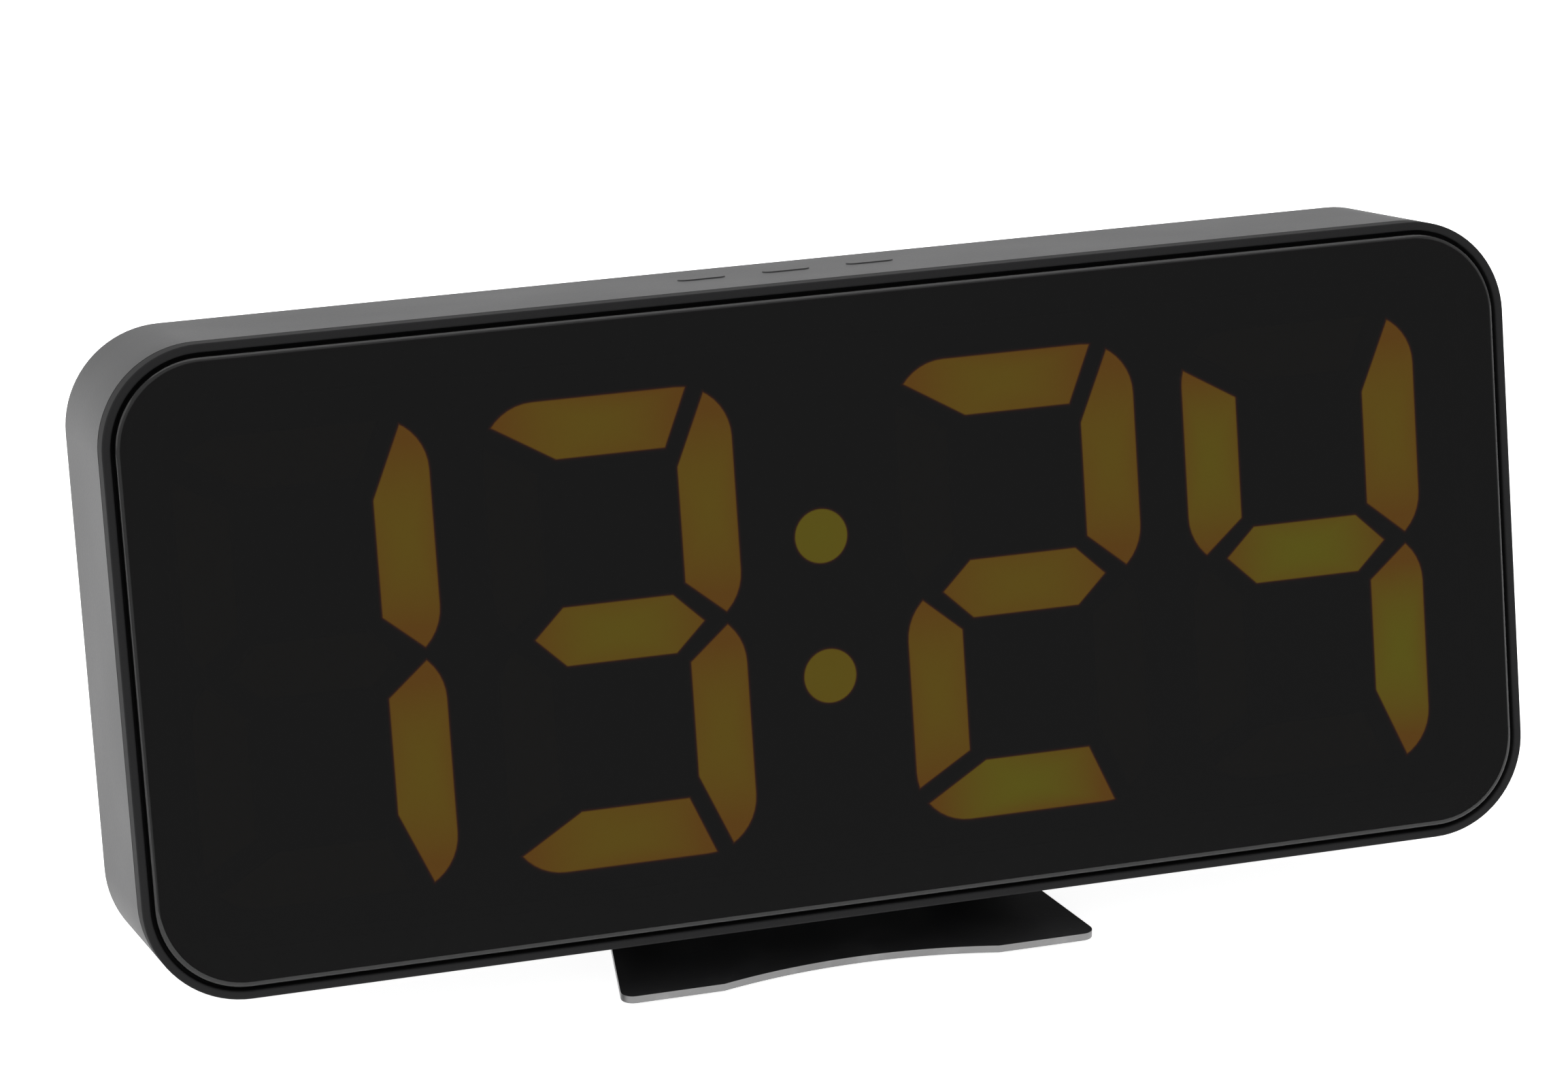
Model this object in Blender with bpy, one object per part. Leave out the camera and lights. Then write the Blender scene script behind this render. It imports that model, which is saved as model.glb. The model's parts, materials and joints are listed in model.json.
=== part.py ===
"""Table alarm clock: a wide leaning case with a large digit display and a folding sheet foot.

The case is drawn upright in its own frame (x right, y towards the back, z up the face, origin in the
middle of the lens front) and hangs from an empty that leans it back. The foot is drawn in a frame whose
origin is on the hinge axis. Dimensions are in millimetres; MM turns them into metres.
"""

import math

import bmesh
import bpy
from mathutils import Matrix, Vector

MM = 0.001
GAP = 0.3  # clearance between neighbouring pieces
LEAN = math.radians(13.0)

# Case
CASE_W = 188.0
CASE_H = 83.0
CASE_BACK = 28.7
CASE_R = 13.0
WALL = 2.0
BACK_EDGE = 0.8
SEAM = 3.7
INNER_BACK = CASE_BACK - WALL

# Front frame and lens
RIM_FRONT = 0.5
RIM_FACE = 1.1
RIM_BACK = SEAM - GAP
SHELF_FRONT = 2.4
SHELF_INSET = 7.2
TONGUE_BACK = 6.4
TONGUE_T = 1.5
LENS_W = 185.0
LENS_H = 80.0
LENS_R = 11.5
LENS_T = 1.5
LENS_EDGE = 0.5
TAPE = (1.8, 2.1)
TAPE_W = 4.0

# Display
DIGIT_W = 32.8
DIGIT_H = 60.6
DIGIT_PITCH = 39.65
PAIR_LEFT = (-85.7, 8.7)
DISPLAY_Z = -0.55
DIGIT_R = 7.0
BAR = 7.5
COLON_X = -2.2
COLON_RISE = 9.15
COLON_R = 3.5
MASK_FRONT = 2.0
MASK_BACK = 9.0
GUIDE_FRONT = 2.3
GUIDE_PLATE = (9.3, 10.3)
DISPLAY_BOARD = (12.0, 13.6)
DISPLAY_BOARD_SIZE = (172.0, 66.4)
LED_SIZE = (3.0, 1.8)
LED_FRONT = 11.2
DISPLAY_SCREWS = [(x, z) for x in (-49.2, 44.9) for z in (-29.5, 29.5)]

# Main board and what it carries; places are (x, z) on the back wall
MAIN_BOARD = (18.0, 19.6)
MAIN_BOARD_SIZE = (126.0, 50.0)
BOARD_POSTS = [(x, z) for x in (-57.0, 57.0) for z in (-20.5, 20.5)]
BUTTON_Z = 14.0
BUTTON_X = {"mode": -50.0, "hour": -30.0, "minute": -10.0, "alarm": 10.0, "dimmer": 30.0}
BUTTON_SIZE = (10.0, 5.0)
BUTTON_OUT = 1.0
SWITCH_AT = (49.5, 14.0)
SWITCH_TRAVEL = 4.0
INLET_AT = (40.0, -14.0)
BUZZER_AT = (4.0, -12.0)
CELL_AT = (-38.0, -11.0)
CELL_R = 10.0
CELL_T = 3.2
DOOR = 26.4
LABEL_AT = (76.0, -12.0)
LABEL_SIZE = (26.0, 16.0)

# Screws
CASE_SCREWS = [(x, z) for x in (-70.0, 70.0) for z in (-36.6, 36.6)]
POST_BACK = 20.0
SCREW_R = 0.9
SMALL_SCREW_R = 0.8
SMALL_HEAD_R = 1.9
BOSS_R = 3.4
POST_R = 2.2
STAND_R = 2.4  # posts of the front frame
SUNK_R = 2.6  # recess over a sunk screw head
SLOT_HALF = (1.1, 0.25)  # half length and half width of the slot in a screw head
SLOT_DEPTH = 0.6

# Foot and hinge; the axis is given in the case frame
HINGE_BACK = 31.1
HINGE_DROP = 39.5
HINGE_R = 1.0
LUG_R = 2.0
LUG_X = (20.3, 23.2)
EAR_X = (23.5, 24.5)
AXIS_OVER_PLATE = 2.5
PLATE_T = 1.0
PAD_T = 0.5
FOOT_FRONT = -29.6
FOOT_REAR = 7.6
FOOT_HALF_W = 33.0
FOOT_TAPER = 0.19
RECESS_HALF_W = 18.9
RECESS_DEPTH = 2.5
FRONT_CORNER_R = 2.0
REAR_CORNER_R = 3.0
PAD_SIZE = (10.0, 6.0, 1.5)  # length, width and corner radius
PADS = {"front_left": (-26.0, -24.9), "front_right": (26.0, -24.9), "rear_left": (-19.5, 3.6),
        "rear_right": (19.5, 3.6)}

# Heights above the table and the place that centres the whole clock over the origin
HINGE_Z = PAD_T + GAP + PLATE_T + AXIS_OVER_PLATE
CASE_Z = HINGE_Z + HINGE_BACK * math.sin(LEAN) + HINGE_DROP * math.cos(LEAN)
BACKMOST = CASE_BACK * math.cos(LEAN) + (CASE_H / 2 - BACK_EDGE) * math.sin(LEAN)
FOREMOST = -(LENS_H / 2 - LENS_EDGE) * math.sin(LEAN)
CASE_Y = -(BACKMOST + FOREMOST) / 2
HINGE_Y = CASE_Y + HINGE_BACK * math.cos(LEAN) - HINGE_DROP * math.sin(LEAN)

FINISHES = {
    "shell_grey": ((0.16, 0.16, 0.165), 0.62, 0.0),
    "frame_black": ((0.03, 0.03, 0.032), 0.45, 0.0),
    "lens_smoke": ((0.012, 0.011, 0.011), 0.05, 0.0),
    "tape": ((0.02, 0.02, 0.02), 0.9, 0.0),
    "mask_black": ((0.01, 0.01, 0.01), 0.7, 0.0),
    "guide_amber": ((0.55, 0.36, 0.05), 0.4, 0.0),
    "board_green": ((0.03, 0.17, 0.07), 0.5, 0.0),
    "component": ((0.02, 0.02, 0.022), 0.5, 0.0),
    "tin": ((0.7, 0.7, 0.72), 0.3, 1.0),
    "button": ((0.05, 0.05, 0.052), 0.5, 0.0),
    "ribbon": ((0.75, 0.75, 0.72), 0.6, 0.0),
    "copper": ((0.8, 0.42, 0.25), 0.35, 1.0),
    "foot_steel": ((0.02, 0.02, 0.022), 0.35, 0.6),
    "rubber": ((0.03, 0.03, 0.03), 0.9, 0.0),
    "label": ((0.35, 0.35, 0.36), 0.4, 0.0),
}


# ---- shapes ---------------------------------------------------------------------------------------

def arc(centre, radius, start, end, steps=3):
    """Points on a circle from one angle to another, in degrees, both ends included."""
    angles = [math.radians(start + (end - start) * i / steps) for i in range(steps + 1)]
    return [(centre[0] + radius * math.cos(a), centre[1] + radius * math.sin(a)) for a in angles]


def rounded(width, height, radius, at=(0.0, 0.0), steps=6):
    """Outline of a rectangle with round corners."""
    points = []
    for turn, (sx, sz) in enumerate(((1, 1), (-1, 1), (-1, -1), (1, -1))):
        corner = (at[0] + sx * (width / 2 - radius), at[1] + sz * (height / 2 - radius))
        points += arc(corner, radius, 90 * turn, 90 * turn + 90, steps)
    return points


def span(side, near, far):
    """Stretch along x on one side of the middle, lower end first."""
    return sorted((side * near, side * far))


def circle(radius, at=(0.0, 0.0), steps=16):
    """Outline of a circle."""
    return arc(at, radius, 0, 360 - 360 / steps, steps - 1)


def shrink(points, inset):
    """Outline moved inwards; the points run anticlockwise round a convex shape."""
    lines = []
    for a, b in zip(points, points[1:] + points[:1]):
        along = Vector((b[0] - a[0], b[1] - a[1])).normalized()
        lines.append((Vector(a) + inset * Vector((-along.y, along.x)), along))
    moved = []
    for (p, d), (q, e) in zip(lines[-1:] + lines[:-1], lines):
        cross = d.x * e.y - d.y * e.x
        reach = ((q.x - p.x) * e.y - (q.y - p.y) * e.x) / cross
        moved.append((p.x + reach * d.x, p.y + reach * d.y))
    return moved


def joined(*shapes):
    """One bmesh holding several closed bodies."""
    whole = bmesh.new()
    for shape in shapes:
        mesh = bpy.data.meshes.new("joined")
        shape.to_mesh(mesh)
        shape.free()
        whole.from_mesh(mesh)
        bpy.data.meshes.remove(mesh)
    return whole


def prism(outlines, low, high, axis="y"):
    """Closed outlines extruded from low to high along an axis; an inner outline is a hole."""
    curve = bpy.data.curves.new("outline", "CURVE")
    curve.dimensions = "2D"
    curve.fill_mode = "BOTH"
    curve.extrude = (high - low) / 2 * MM
    for points in outlines:
        spline = curve.splines.new("POLY")
        spline.points.add(len(points) - 1)
        for point, (u, v) in zip(spline.points, points):
            point.co = (u * MM, v * MM, 0.0, 1.0)
        spline.use_cyclic_u = True
    guide = bpy.data.objects.new("outline", curve)
    bpy.context.scene.collection.objects.link(guide)
    evaluated = guide.evaluated_get(bpy.context.evaluated_depsgraph_get())
    mesh = bpy.data.meshes.new_from_object(evaluated)
    bpy.data.objects.remove(guide)
    solid = bmesh.new()
    solid.from_mesh(mesh)
    bpy.data.meshes.remove(mesh)
    bmesh.ops.remove_doubles(solid, verts=solid.verts, dist=1e-7)
    middle = (low + high) / 2 * MM
    for vert in solid.verts:
        u, v, w = vert.co.x, vert.co.y, vert.co.z + middle
        vert.co = {"x": (w, u, v), "y": (u, w, v), "z": (u, v, w)}[axis]
    if axis == "y":  # swapping two axes mirrors the solid
        bmesh.ops.reverse_faces(solid, faces=solid.faces)
    solid.normal_update()
    return solid


def band(section):
    """Ring that follows the case outline; section lists its corners as (inset from the outline, depth)."""
    solid = bmesh.new()
    loops = []
    for inset, depth in section:
        outline = rounded(CASE_W - 2 * inset, CASE_H - 2 * inset, CASE_R - inset, steps=8)
        loops.append([solid.verts.new((x * MM, depth * MM, z * MM)) for x, z in outline])
    for loop, following in zip(loops, loops[1:] + loops[:1]):
        for i in range(len(loop)):
            j = (i + 1) % len(loop)
            solid.faces.new((loop[i], loop[j], following[j], following[i]))
    if solid.calc_volume(signed=True) < 0:
        bmesh.ops.reverse_faces(solid, faces=solid.faces)
    solid.normal_update()
    return solid


def block(low, high):
    """Box between two corners."""
    size = Vector(high) - Vector(low)
    centre = (Vector(high) + Vector(low)) / 2
    solid = bmesh.new()
    place = Matrix.Translation(centre * MM) @ Matrix.Diagonal((*size * MM, 1))
    bmesh.ops.create_cube(solid, size=1.0, matrix=place)
    return solid


def rod(start, end, radius, sides=16):
    """Cylinder between two points."""
    start, end = Vector(start), Vector(end)
    turn = (end - start).to_track_quat("Z", "Y").to_matrix().to_4x4()
    solid = bmesh.new()
    bmesh.ops.create_cone(solid, cap_ends=True, segments=sides, radius1=radius * MM, radius2=radius * MM,
                          depth=(end - start).length * MM,
                          matrix=Matrix.Translation((start + end) / 2 * MM) @ turn)
    return solid


def soften(solid, depth, width, steps=2, axis=1):
    """Rounds the outline edges of the flat face that lies at one depth along an axis."""
    def on_face(edge):
        return all(abs(vert.co[axis] - depth * MM) < 1e-6 for vert in edge.verts)

    def is_rim(edge):
        return sum(abs(face.normal[axis]) > 0.99 for face in edge.link_faces) == 1

    rim = [edge for edge in solid.edges if on_face(edge) and is_rim(edge)]
    bmesh.ops.bevel(solid, geom=rim, offset=width * MM, segments=steps, profile=0.5, affect="EDGES")
    return solid


# ---- scene ----------------------------------------------------------------------------------------

def start_scene():
    """Empties the scene and makes the collections, the frames and the finishes."""
    for old in list(bpy.data.objects):
        bpy.data.objects.remove(old)
    for name in ("alarm_clock", "cutters"):
        collection = bpy.data.collections.new(name)
        bpy.context.scene.collection.children.link(collection)
    frames = {"case_frame": ((0.0, CASE_Y, CASE_Z), -LEAN), "foot_frame": ((0.0, HINGE_Y, HINGE_Z), 0.0)}
    for name, (place, lean) in frames.items():
        frame = bpy.data.objects.new(name, None)
        frame.location = Vector(place) * MM
        frame.rotation_euler = (lean, 0.0, 0.0)
        bpy.data.collections["alarm_clock"].objects.link(frame)
    for name, (colour, roughness, metallic) in FINISHES.items():
        finish = bpy.data.materials.new(name)
        finish.use_nodes = True
        shader = finish.node_tree.nodes["Principled BSDF"]
        shader.inputs["Base Color"].default_value = (*colour, 1.0)
        shader.inputs["Roughness"].default_value = roughness
        shader.inputs["Metallic"].default_value = metallic


def add_part(name, solid, finish, frame="case_frame", origin=(0.0, 0.0, 0.0)):
    """Makes a named piece from a solid given in its frame; origin is where the piece's own origin goes."""
    centre = Vector(origin) * MM
    bmesh.ops.translate(solid, verts=solid.verts, vec=-centre)
    mesh = bpy.data.meshes.new(name)
    solid.to_mesh(mesh)
    solid.free()
    mesh.shade_smooth()
    mesh.set_sharp_from_angle(angle=math.radians(35))
    mesh.materials.append(bpy.data.materials[finish])
    piece = bpy.data.objects.new(name, mesh)
    piece.parent = bpy.data.objects[frame]
    piece.location = centre
    bpy.data.collections["alarm_clock"].objects.link(piece)
    return piece


def combine(piece, solid, operation):
    """Adds a Boolean modifier whose other operand is a hidden solid in the same frame."""
    mesh = bpy.data.meshes.new(f"{piece.name}_{operation.lower()}")
    solid.to_mesh(mesh)
    solid.free()
    tool = bpy.data.objects.new(mesh.name, mesh)
    tool.parent = piece.parent
    tool.hide_render = True
    tool.display_type = "WIRE"
    bpy.data.collections["cutters"].objects.link(tool)
    modifier = piece.modifiers.new(mesh.name, "BOOLEAN")
    modifier.operation = operation
    modifier.object = tool


def cut(piece, *solids):
    """Takes solids away from a piece."""
    combine(piece, joined(*solids), "DIFFERENCE")


def unite(piece, *solids):
    """Joins solids to a piece."""
    combine(piece, joined(*solids), "UNION")


def screw(name, at, head, tip, radius, head_radius, head_height):
    """Pan-head screw along the depth axis; head is the depth of the bearing face, tip that of its end."""
    way = 1.0 if head > tip else -1.0
    x, z = at
    shank = rod((x, head + way * 0.2, z), (x, tip, z), radius, 12)
    piece = add_part(name, rod((x, head, z), (x, head + way * head_height, z), head_radius), "tin")
    unite(piece, shank)
    top = head + way * head_height
    low, high = sorted((top - way * SLOT_DEPTH, top + way * GAP))
    length, width = SLOT_HALF
    cut(piece, block((x - length, low, z - width), (x + length, high, z + width)))
    return piece


# ---- digits ---------------------------------------------------------------------------------------

def segment_outlines():
    """The seven bars of a digit, from its lower left corner, each running anticlockwise."""
    top = DIGIT_H / 2
    bend = top - DIGIT_R
    waist = 6.0
    right = DIGIT_W - DIGIT_R
    a = [(DIGIT_W - 5.7, top)] + arc((DIGIT_R, bend), DIGIT_R, 90, 142)
    a += [(9.6, top - BAR), (23.9, top - BAR)]
    b = arc((right, waist), DIGIT_R, -47, 0) + arc((right, bend), DIGIT_R, 0, 58)
    b += [(25.4, 20.1), (25.4, 5.2)]
    f = arc((DIGIT_R, bend), DIGIT_R, 163, 180, 2) + arc((DIGIT_R, waist), DIGIT_R, 180, 228)
    f += [(7.4, 5.2), (7.4, 21.2)]
    g = [(5.2, 0.0), (9.1, -BAR / 2), (23.6, -BAR / 2), (27.5, 0.0), (23.6, BAR / 2), (9.1, BAR / 2)]
    upper = {"a": a, "b": b, "f": f}
    lower = {"d": "a", "c": "b", "e": "f"}
    bars = dict(upper, g=g)
    for name, twin in lower.items():
        bars[name] = [(u, -w) for u, w in reversed(upper[twin])]
    return bars


def digit_lefts():
    """Left edge of each of the four digits."""
    return [left + DIGIT_PITCH * place for left in PAIR_LEFT for place in (0, 1)]


def digit_bars(left, inset=0.0):
    """Outlines of one digit's bars in the case frame."""
    placed = []
    for points in segment_outlines().values():
        bar = shrink(points, inset) if inset else points
        placed.append([(left + u, DISPLAY_Z + w) for u, w in bar])
    return placed


def colon_dots(radius):
    """Outlines of the two colon dots."""
    return [circle(radius, (COLON_X, DISPLAY_Z + side * COLON_RISE), 12) for side in (1, -1)]


# ---- case -----------------------------------------------------------------------------------------

def build_housing():
    """Back shell: a tub with screw bosses, board posts, hinge lugs and the openings in its back wall."""
    body = prism([rounded(CASE_W, CASE_H, CASE_R, steps=8)], SEAM, CASE_BACK)
    housing = add_part("housing", soften(body, CASE_BACK, BACK_EDGE), "shell_grey")
    inside = rounded(CASE_W - 2 * WALL, CASE_H - 2 * WALL, CASE_R - WALL)
    cut(housing, prism([inside], SEAM - 2, INNER_BACK))
    bosses = [rod((x, POST_BACK + GAP, z), (x, CASE_BACK - 1, z), BOSS_R, 12) for x, z in CASE_SCREWS]
    posts = [rod((x, MAIN_BOARD[1] + GAP, z), (x, CASE_BACK - 1, z), POST_R, 12) for x, z in BOARD_POSTS]
    unite(housing, *bosses, *posts)
    x, z = CELL_AT
    unite(housing, block((x - 15.5, INNER_BACK - 1.2, z - 15.5), (x + 15.5, CASE_BACK - 1.8, z + 15.5)))
    for side in (-1, 1):
        near, far = span(side, *LUG_X)
        axis = (HINGE_BACK, -HINGE_DROP)
        unite(housing, prism([circle(LUG_R, axis)], near, far, "x"))
        low = (near + 0.1, CASE_BACK - 1, axis[1] - 1.8)
        unite(housing, block(low, (far - 0.1, axis[0] + 0.4, axis[1] + 1.8)))
    cut_back_wall(housing)


def cut_back_wall(housing):
    """Openings for screws, buttons, switch, power inlet, sound, label and cell, and the hinge bores."""
    beyond = CASE_BACK + 2
    holes = [rod((x, POST_BACK - 2, z), (x, beyond, z), SCREW_R + 0.4, 12) for x, z in CASE_SCREWS]
    holes += [rod((x, MAIN_BOARD[1] - 1, z), (x, INNER_BACK - 0.8, z), SMALL_SCREW_R + 0.35, 12)
              for x, z in BOARD_POSTS]
    cut(housing, *holes)
    cut(housing, *[rod((x, CASE_BACK - 2.2, z), (x, beyond, z), SUNK_R) for x, z in CASE_SCREWS])
    width, height = (size + 2 * GAP for size in BUTTON_SIZE)
    openings = [rounded(width, height, 2.4, (x, BUTTON_Z), 3) for x in BUTTON_X.values()]
    openings.append(circle(4.4, INLET_AT))
    openings.append(rounded(3.0 + SWITCH_TRAVEL + 2 * GAP, 3.0, 0.5, SWITCH_AT, 1))
    for ring in range(7):
        reach = 0.0 if ring == 6 else 4.0
        turn = math.radians(60 * ring)
        at = (BUZZER_AT[0] + reach * math.cos(turn), BUZZER_AT[1] + reach * math.sin(turn))
        openings.append(circle(0.9, at, 8))
    openings.append(rounded(DOOR - 3.4, DOOR - 3.4, 2, CELL_AT, 2))
    cut(housing, prism(openings, INNER_BACK - 3, beyond))
    cut(housing, prism([rounded(DOOR + 2 * GAP, DOOR + 2 * GAP, 2.6, CELL_AT, 3)], CASE_BACK - 1.5, beyond))
    label = rounded(LABEL_SIZE[0] + 2 * GAP, LABEL_SIZE[1] + 2 * GAP, 1.3, LABEL_AT, 2)
    cut(housing, prism([rounded(14, 6, 1.5, SWITCH_AT, 3)], CASE_BACK - 1.2, beyond),
        prism([label], CASE_BACK - 0.6, beyond))
    bore = prism([circle(HINGE_R + GAP, (HINGE_BACK, -HINGE_DROP), 12)], -LUG_X[1] - 1, LUG_X[1] + 1, "x")
    cut(housing, bore)


def build_front_frame():
    """Frame round the lens: a thin rim, the shelf behind the lens, a tongue into the shell and four posts."""
    tongue = WALL + GAP
    section = [(0.0, RIM_FRONT), (0.0, RIM_BACK), (tongue, RIM_BACK), (tongue, TONGUE_BACK),
               (tongue + TONGUE_T, TONGUE_BACK), (tongue + TONGUE_T, RIM_BACK), (SHELF_INSET, RIM_BACK),
               (SHELF_INSET, SHELF_FRONT), (RIM_FACE, SHELF_FRONT), (RIM_FACE, RIM_FRONT)]
    frame = add_part("front_frame", band(section), "frame_black")
    unite(frame, *[rod((x, SHELF_FRONT + 0.5, z), (x, POST_BACK, z), STAND_R, 12) for x, z in CASE_SCREWS])
    cut(frame, *[rod((x, 10.0, z), (x, POST_BACK + 1, z), SCREW_R + GAP, 12) for x, z in CASE_SCREWS])


def build_lens():
    """Smoked lens with a softened front edge, and the tape that holds it on the shelf."""
    lens = soften(prism([rounded(LENS_W, LENS_H, LENS_R)], 0.0, LENS_T), 0.0, LENS_EDGE)
    add_part("lens", lens, "lens_smoke")
    outer = rounded(LENS_W - 1, LENS_H - 1, LENS_R - 0.5)
    inner = rounded(LENS_W - 1 - 2 * TAPE_W, LENS_H - 1 - 2 * TAPE_W, LENS_R - 0.5 - TAPE_W)
    add_part("lens_tape", prism([outer, inner], *TAPE), "tape")


def build_case_screws():
    """Four screws through the shell's bosses into the frame's posts."""
    for number, at in enumerate(CASE_SCREWS, 1):
        screw(f"case_screw_{number}", at, CASE_BACK - 2.2 + GAP, 12.0, SCREW_R, 2.2, 1.4)


# ---- display --------------------------------------------------------------------------------------

def build_mask():
    """Black mask with a well for every bar and dot, notched round the frame's posts."""
    width, height = CASE_W - 8.4, CASE_H - 8.4
    body = prism([rounded(width, height, 8.8)], RIM_BACK + GAP, MASK_BACK)
    mask = add_part("display_mask", body, "mask_black")
    inset = SHELF_INSET + GAP
    window = rounded(CASE_W - 2 * inset, CASE_H - 2 * inset, CASE_R - inset)
    unite(mask, prism([window], MASK_FRONT, RIM_BACK + GAP + 0.5))
    unite(mask, *[rod((x, MASK_BACK - 0.5, z), (x, DISPLAY_BOARD[0] - GAP, z), POST_R, 12)
                  for x, z in DISPLAY_SCREWS])
    wells = [bar for left in digit_lefts() for bar in digit_bars(left)] + colon_dots(COLON_R)
    cut(mask, prism(wells, MASK_FRONT - 1, MASK_BACK + 1))
    cut(mask, *[rod((x, MASK_FRONT - 1, z), (x, MASK_BACK + 1, z), 2.75, 12) for x, z in CASE_SCREWS],
        *[rod((x, 7.0, z), (x, DISPLAY_BOARD[0], z), SMALL_SCREW_R + GAP, 12) for x, z in DISPLAY_SCREWS])


def build_guides():
    """Light guides: a thin plate behind the mask with the bars standing in the wells."""
    for number, left in enumerate(digit_lefts(), 1):
        centre = (left + DIGIT_W / 2, DISPLAY_Z)
        plate = prism([rounded(DIGIT_W + 0.8, DIGIT_H + 0.8, 3.0, centre, 3)], *GUIDE_PLATE)
        guide = add_part(f"digit_guide_{number}", plate, "guide_amber")
        unite(guide, prism(digit_bars(left, GAP), GUIDE_FRONT, GUIDE_PLATE[0] + 0.5))
    plate = prism([rounded(10, 30, 2.0, (COLON_X, DISPLAY_Z), 2)], *GUIDE_PLATE)
    guide = add_part("colon_guide", plate, "guide_amber")
    unite(guide, prism(colon_dots(COLON_R - GAP), GUIDE_FRONT, GUIDE_PLATE[0] + 0.5))


def led_places():
    """Middle of every bar and dot."""
    half = DIGIT_W / 2
    side = half - BAR / 2
    spots = [(0.0, 26.5), (0.0, 0.0), (0.0, -26.5)] + [(u, w) for u in (-side, side) for w in (-14.8, 14.8)]
    places = [(left + half + u, DISPLAY_Z + w) for left in digit_lefts() for u, w in spots]
    return places + [(COLON_X, DISPLAY_Z + rise) for rise in (-COLON_RISE, COLON_RISE)]


def build_display_board():
    """Board with one light under every bar and dot, its four screws and the ribbon to the main board."""
    outline = [rounded(*DISPLAY_BOARD_SIZE, 3.0, steps=2)]
    outline += [circle(SMALL_SCREW_R + GAP, at, 8) for at in DISPLAY_SCREWS]
    board = add_part("display_board", prism(outline, *DISPLAY_BOARD), "board_green")
    half_w, half_h = LED_SIZE[0] / 2, LED_SIZE[1] / 2
    root = DISPLAY_BOARD[0] + 0.4
    unite(board, *[block((x - half_w, LED_FRONT, z - half_h), (x + half_w, root, z + half_h))
                   for x, z in led_places()])
    for number, at in enumerate(DISPLAY_SCREWS, 1):
        screw(f"display_screw_{number}", at, DISPLAY_BOARD[1] + GAP, 8.0, SMALL_SCREW_R, SMALL_HEAD_R, 1.1)
    near, far = DISPLAY_BOARD[1] + GAP, MAIN_BOARD[0] - GAP
    middle, thick = (near + far) / 2, 0.4
    outer = arc((middle, -18.0), (far - near) / 2, 180, 360, 6)
    inner = arc((middle, -18.0), (far - near) / 2 - thick, 360, 180, 6)
    strip = [(near, -8.0)] + outer + [(far, -8.0), (far - thick, -8.0)] + inner + [(near + thick, -8.0)]
    add_part("ribbon_cable", prism([strip], -34.0, -14.0, "x"), "ribbon")


# ---- main board -----------------------------------------------------------------------------------

def build_main_board():
    """Board on the shell's posts, with its screws and the parts on its front side."""
    outline = [rounded(*MAIN_BOARD_SIZE, 2.0, steps=2)]
    outline += [circle(SMALL_SCREW_R + GAP, at, 8) for at in BOARD_POSTS]
    add_part("main_board", prism(outline, *MAIN_BOARD), "board_green")
    for number, at in enumerate(BOARD_POSTS, 1):
        screw(f"board_screw_{number}", at, MAIN_BOARD[0] - GAP, 24.5, SMALL_SCREW_R, SMALL_HEAD_R, 1.1)
    seat = MAIN_BOARD[0] - GAP
    add_part("mcu_chip", soften(block((-6, seat - 1.6, -5), (6, seat, 7)), seat - 1.6, 0.3, 1), "component")
    crystal = prism([rounded(11, 4.6, 2.2, (20, 0), 3)], seat - 3.2, seat)
    add_part("crystal", soften(crystal, seat - 3.2, 0.4, 1), "tin")
    for number, x in enumerate((30.0, 40.0), 1):
        can = rod((x, seat - 1.8, -4.0), (x, seat - 1.8, 4.0), 1.8, 12)
        add_part(f"capacitor_{number}", can, "component")


def build_power_inlet():
    """Round low-voltage socket that opens through the back wall, with its centre pin."""
    x, z = INLET_AT
    seat = MAIN_BOARD[1] + GAP
    inlet = add_part("power_inlet", block((x - 5, seat, z - 5), (x + 5, INNER_BACK - 2, z + 5)), "component")
    unite(inlet, rod((x, INNER_BACK - 3, z), (x, CASE_BACK, z), 4.0))
    cut(inlet, rod((x, seat + 1.2, z), (x, CASE_BACK + 1, z), 2.8))
    unite(inlet, rod((x, seat + 0.7, z), (x, CASE_BACK - 1.2, z), 0.7, 8))


def build_sounder():
    """Piezo sounder against the sound holes."""
    x, z = BUZZER_AT
    face = INNER_BACK - GAP
    sounder = add_part("buzzer", rod((x, face - 2.4, z), (x, face, z), 8.0, 24), "component")
    cut(sounder, rod((x, face - 1.0, z), (x, face + 1, z), 6.6, 24))


def build_cell():
    """Backup cell, its holder on the main board and the lift-off door over it."""
    x, z = CELL_AT
    seat = MAIN_BOARD[1] + GAP
    holder = add_part("cell_holder", prism([rounded(24, 24, 3, CELL_AT, 2)], seat, seat + 2.6), "component")
    cut(holder, rod((x, seat + 0.8, z), (x, seat + 4, z), CELL_R + 0.4, 24))
    low = seat + 0.8 + GAP
    cell = prism([circle(CELL_R, CELL_AT, 24)], low, low + CELL_T)
    add_part("coin_cell", soften(cell, low + CELL_T, 0.4, 1), "tin")
    plate = prism([rounded(DOOR, DOOR, 2.3, CELL_AT, 3)], CASE_BACK - 1.2, CASE_BACK)
    plate = soften(plate, CASE_BACK, 0.3, 1)
    door = add_part("battery_door", plate, "shell_grey", origin=(x, CASE_BACK, z))
    unite(door, prism([rounded(DOOR - 4, DOOR - 4, 1.7, CELL_AT, 2)], CASE_BACK - 2.6, CASE_BACK - 0.9))
    lows = [z - 8.4 + 1.8 * row for row in range(3)]
    cut(door, *[block((x - 6, CASE_BACK - 0.5, low), (x + 6, CASE_BACK + 1, low + 0.8)) for low in lows])


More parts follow.
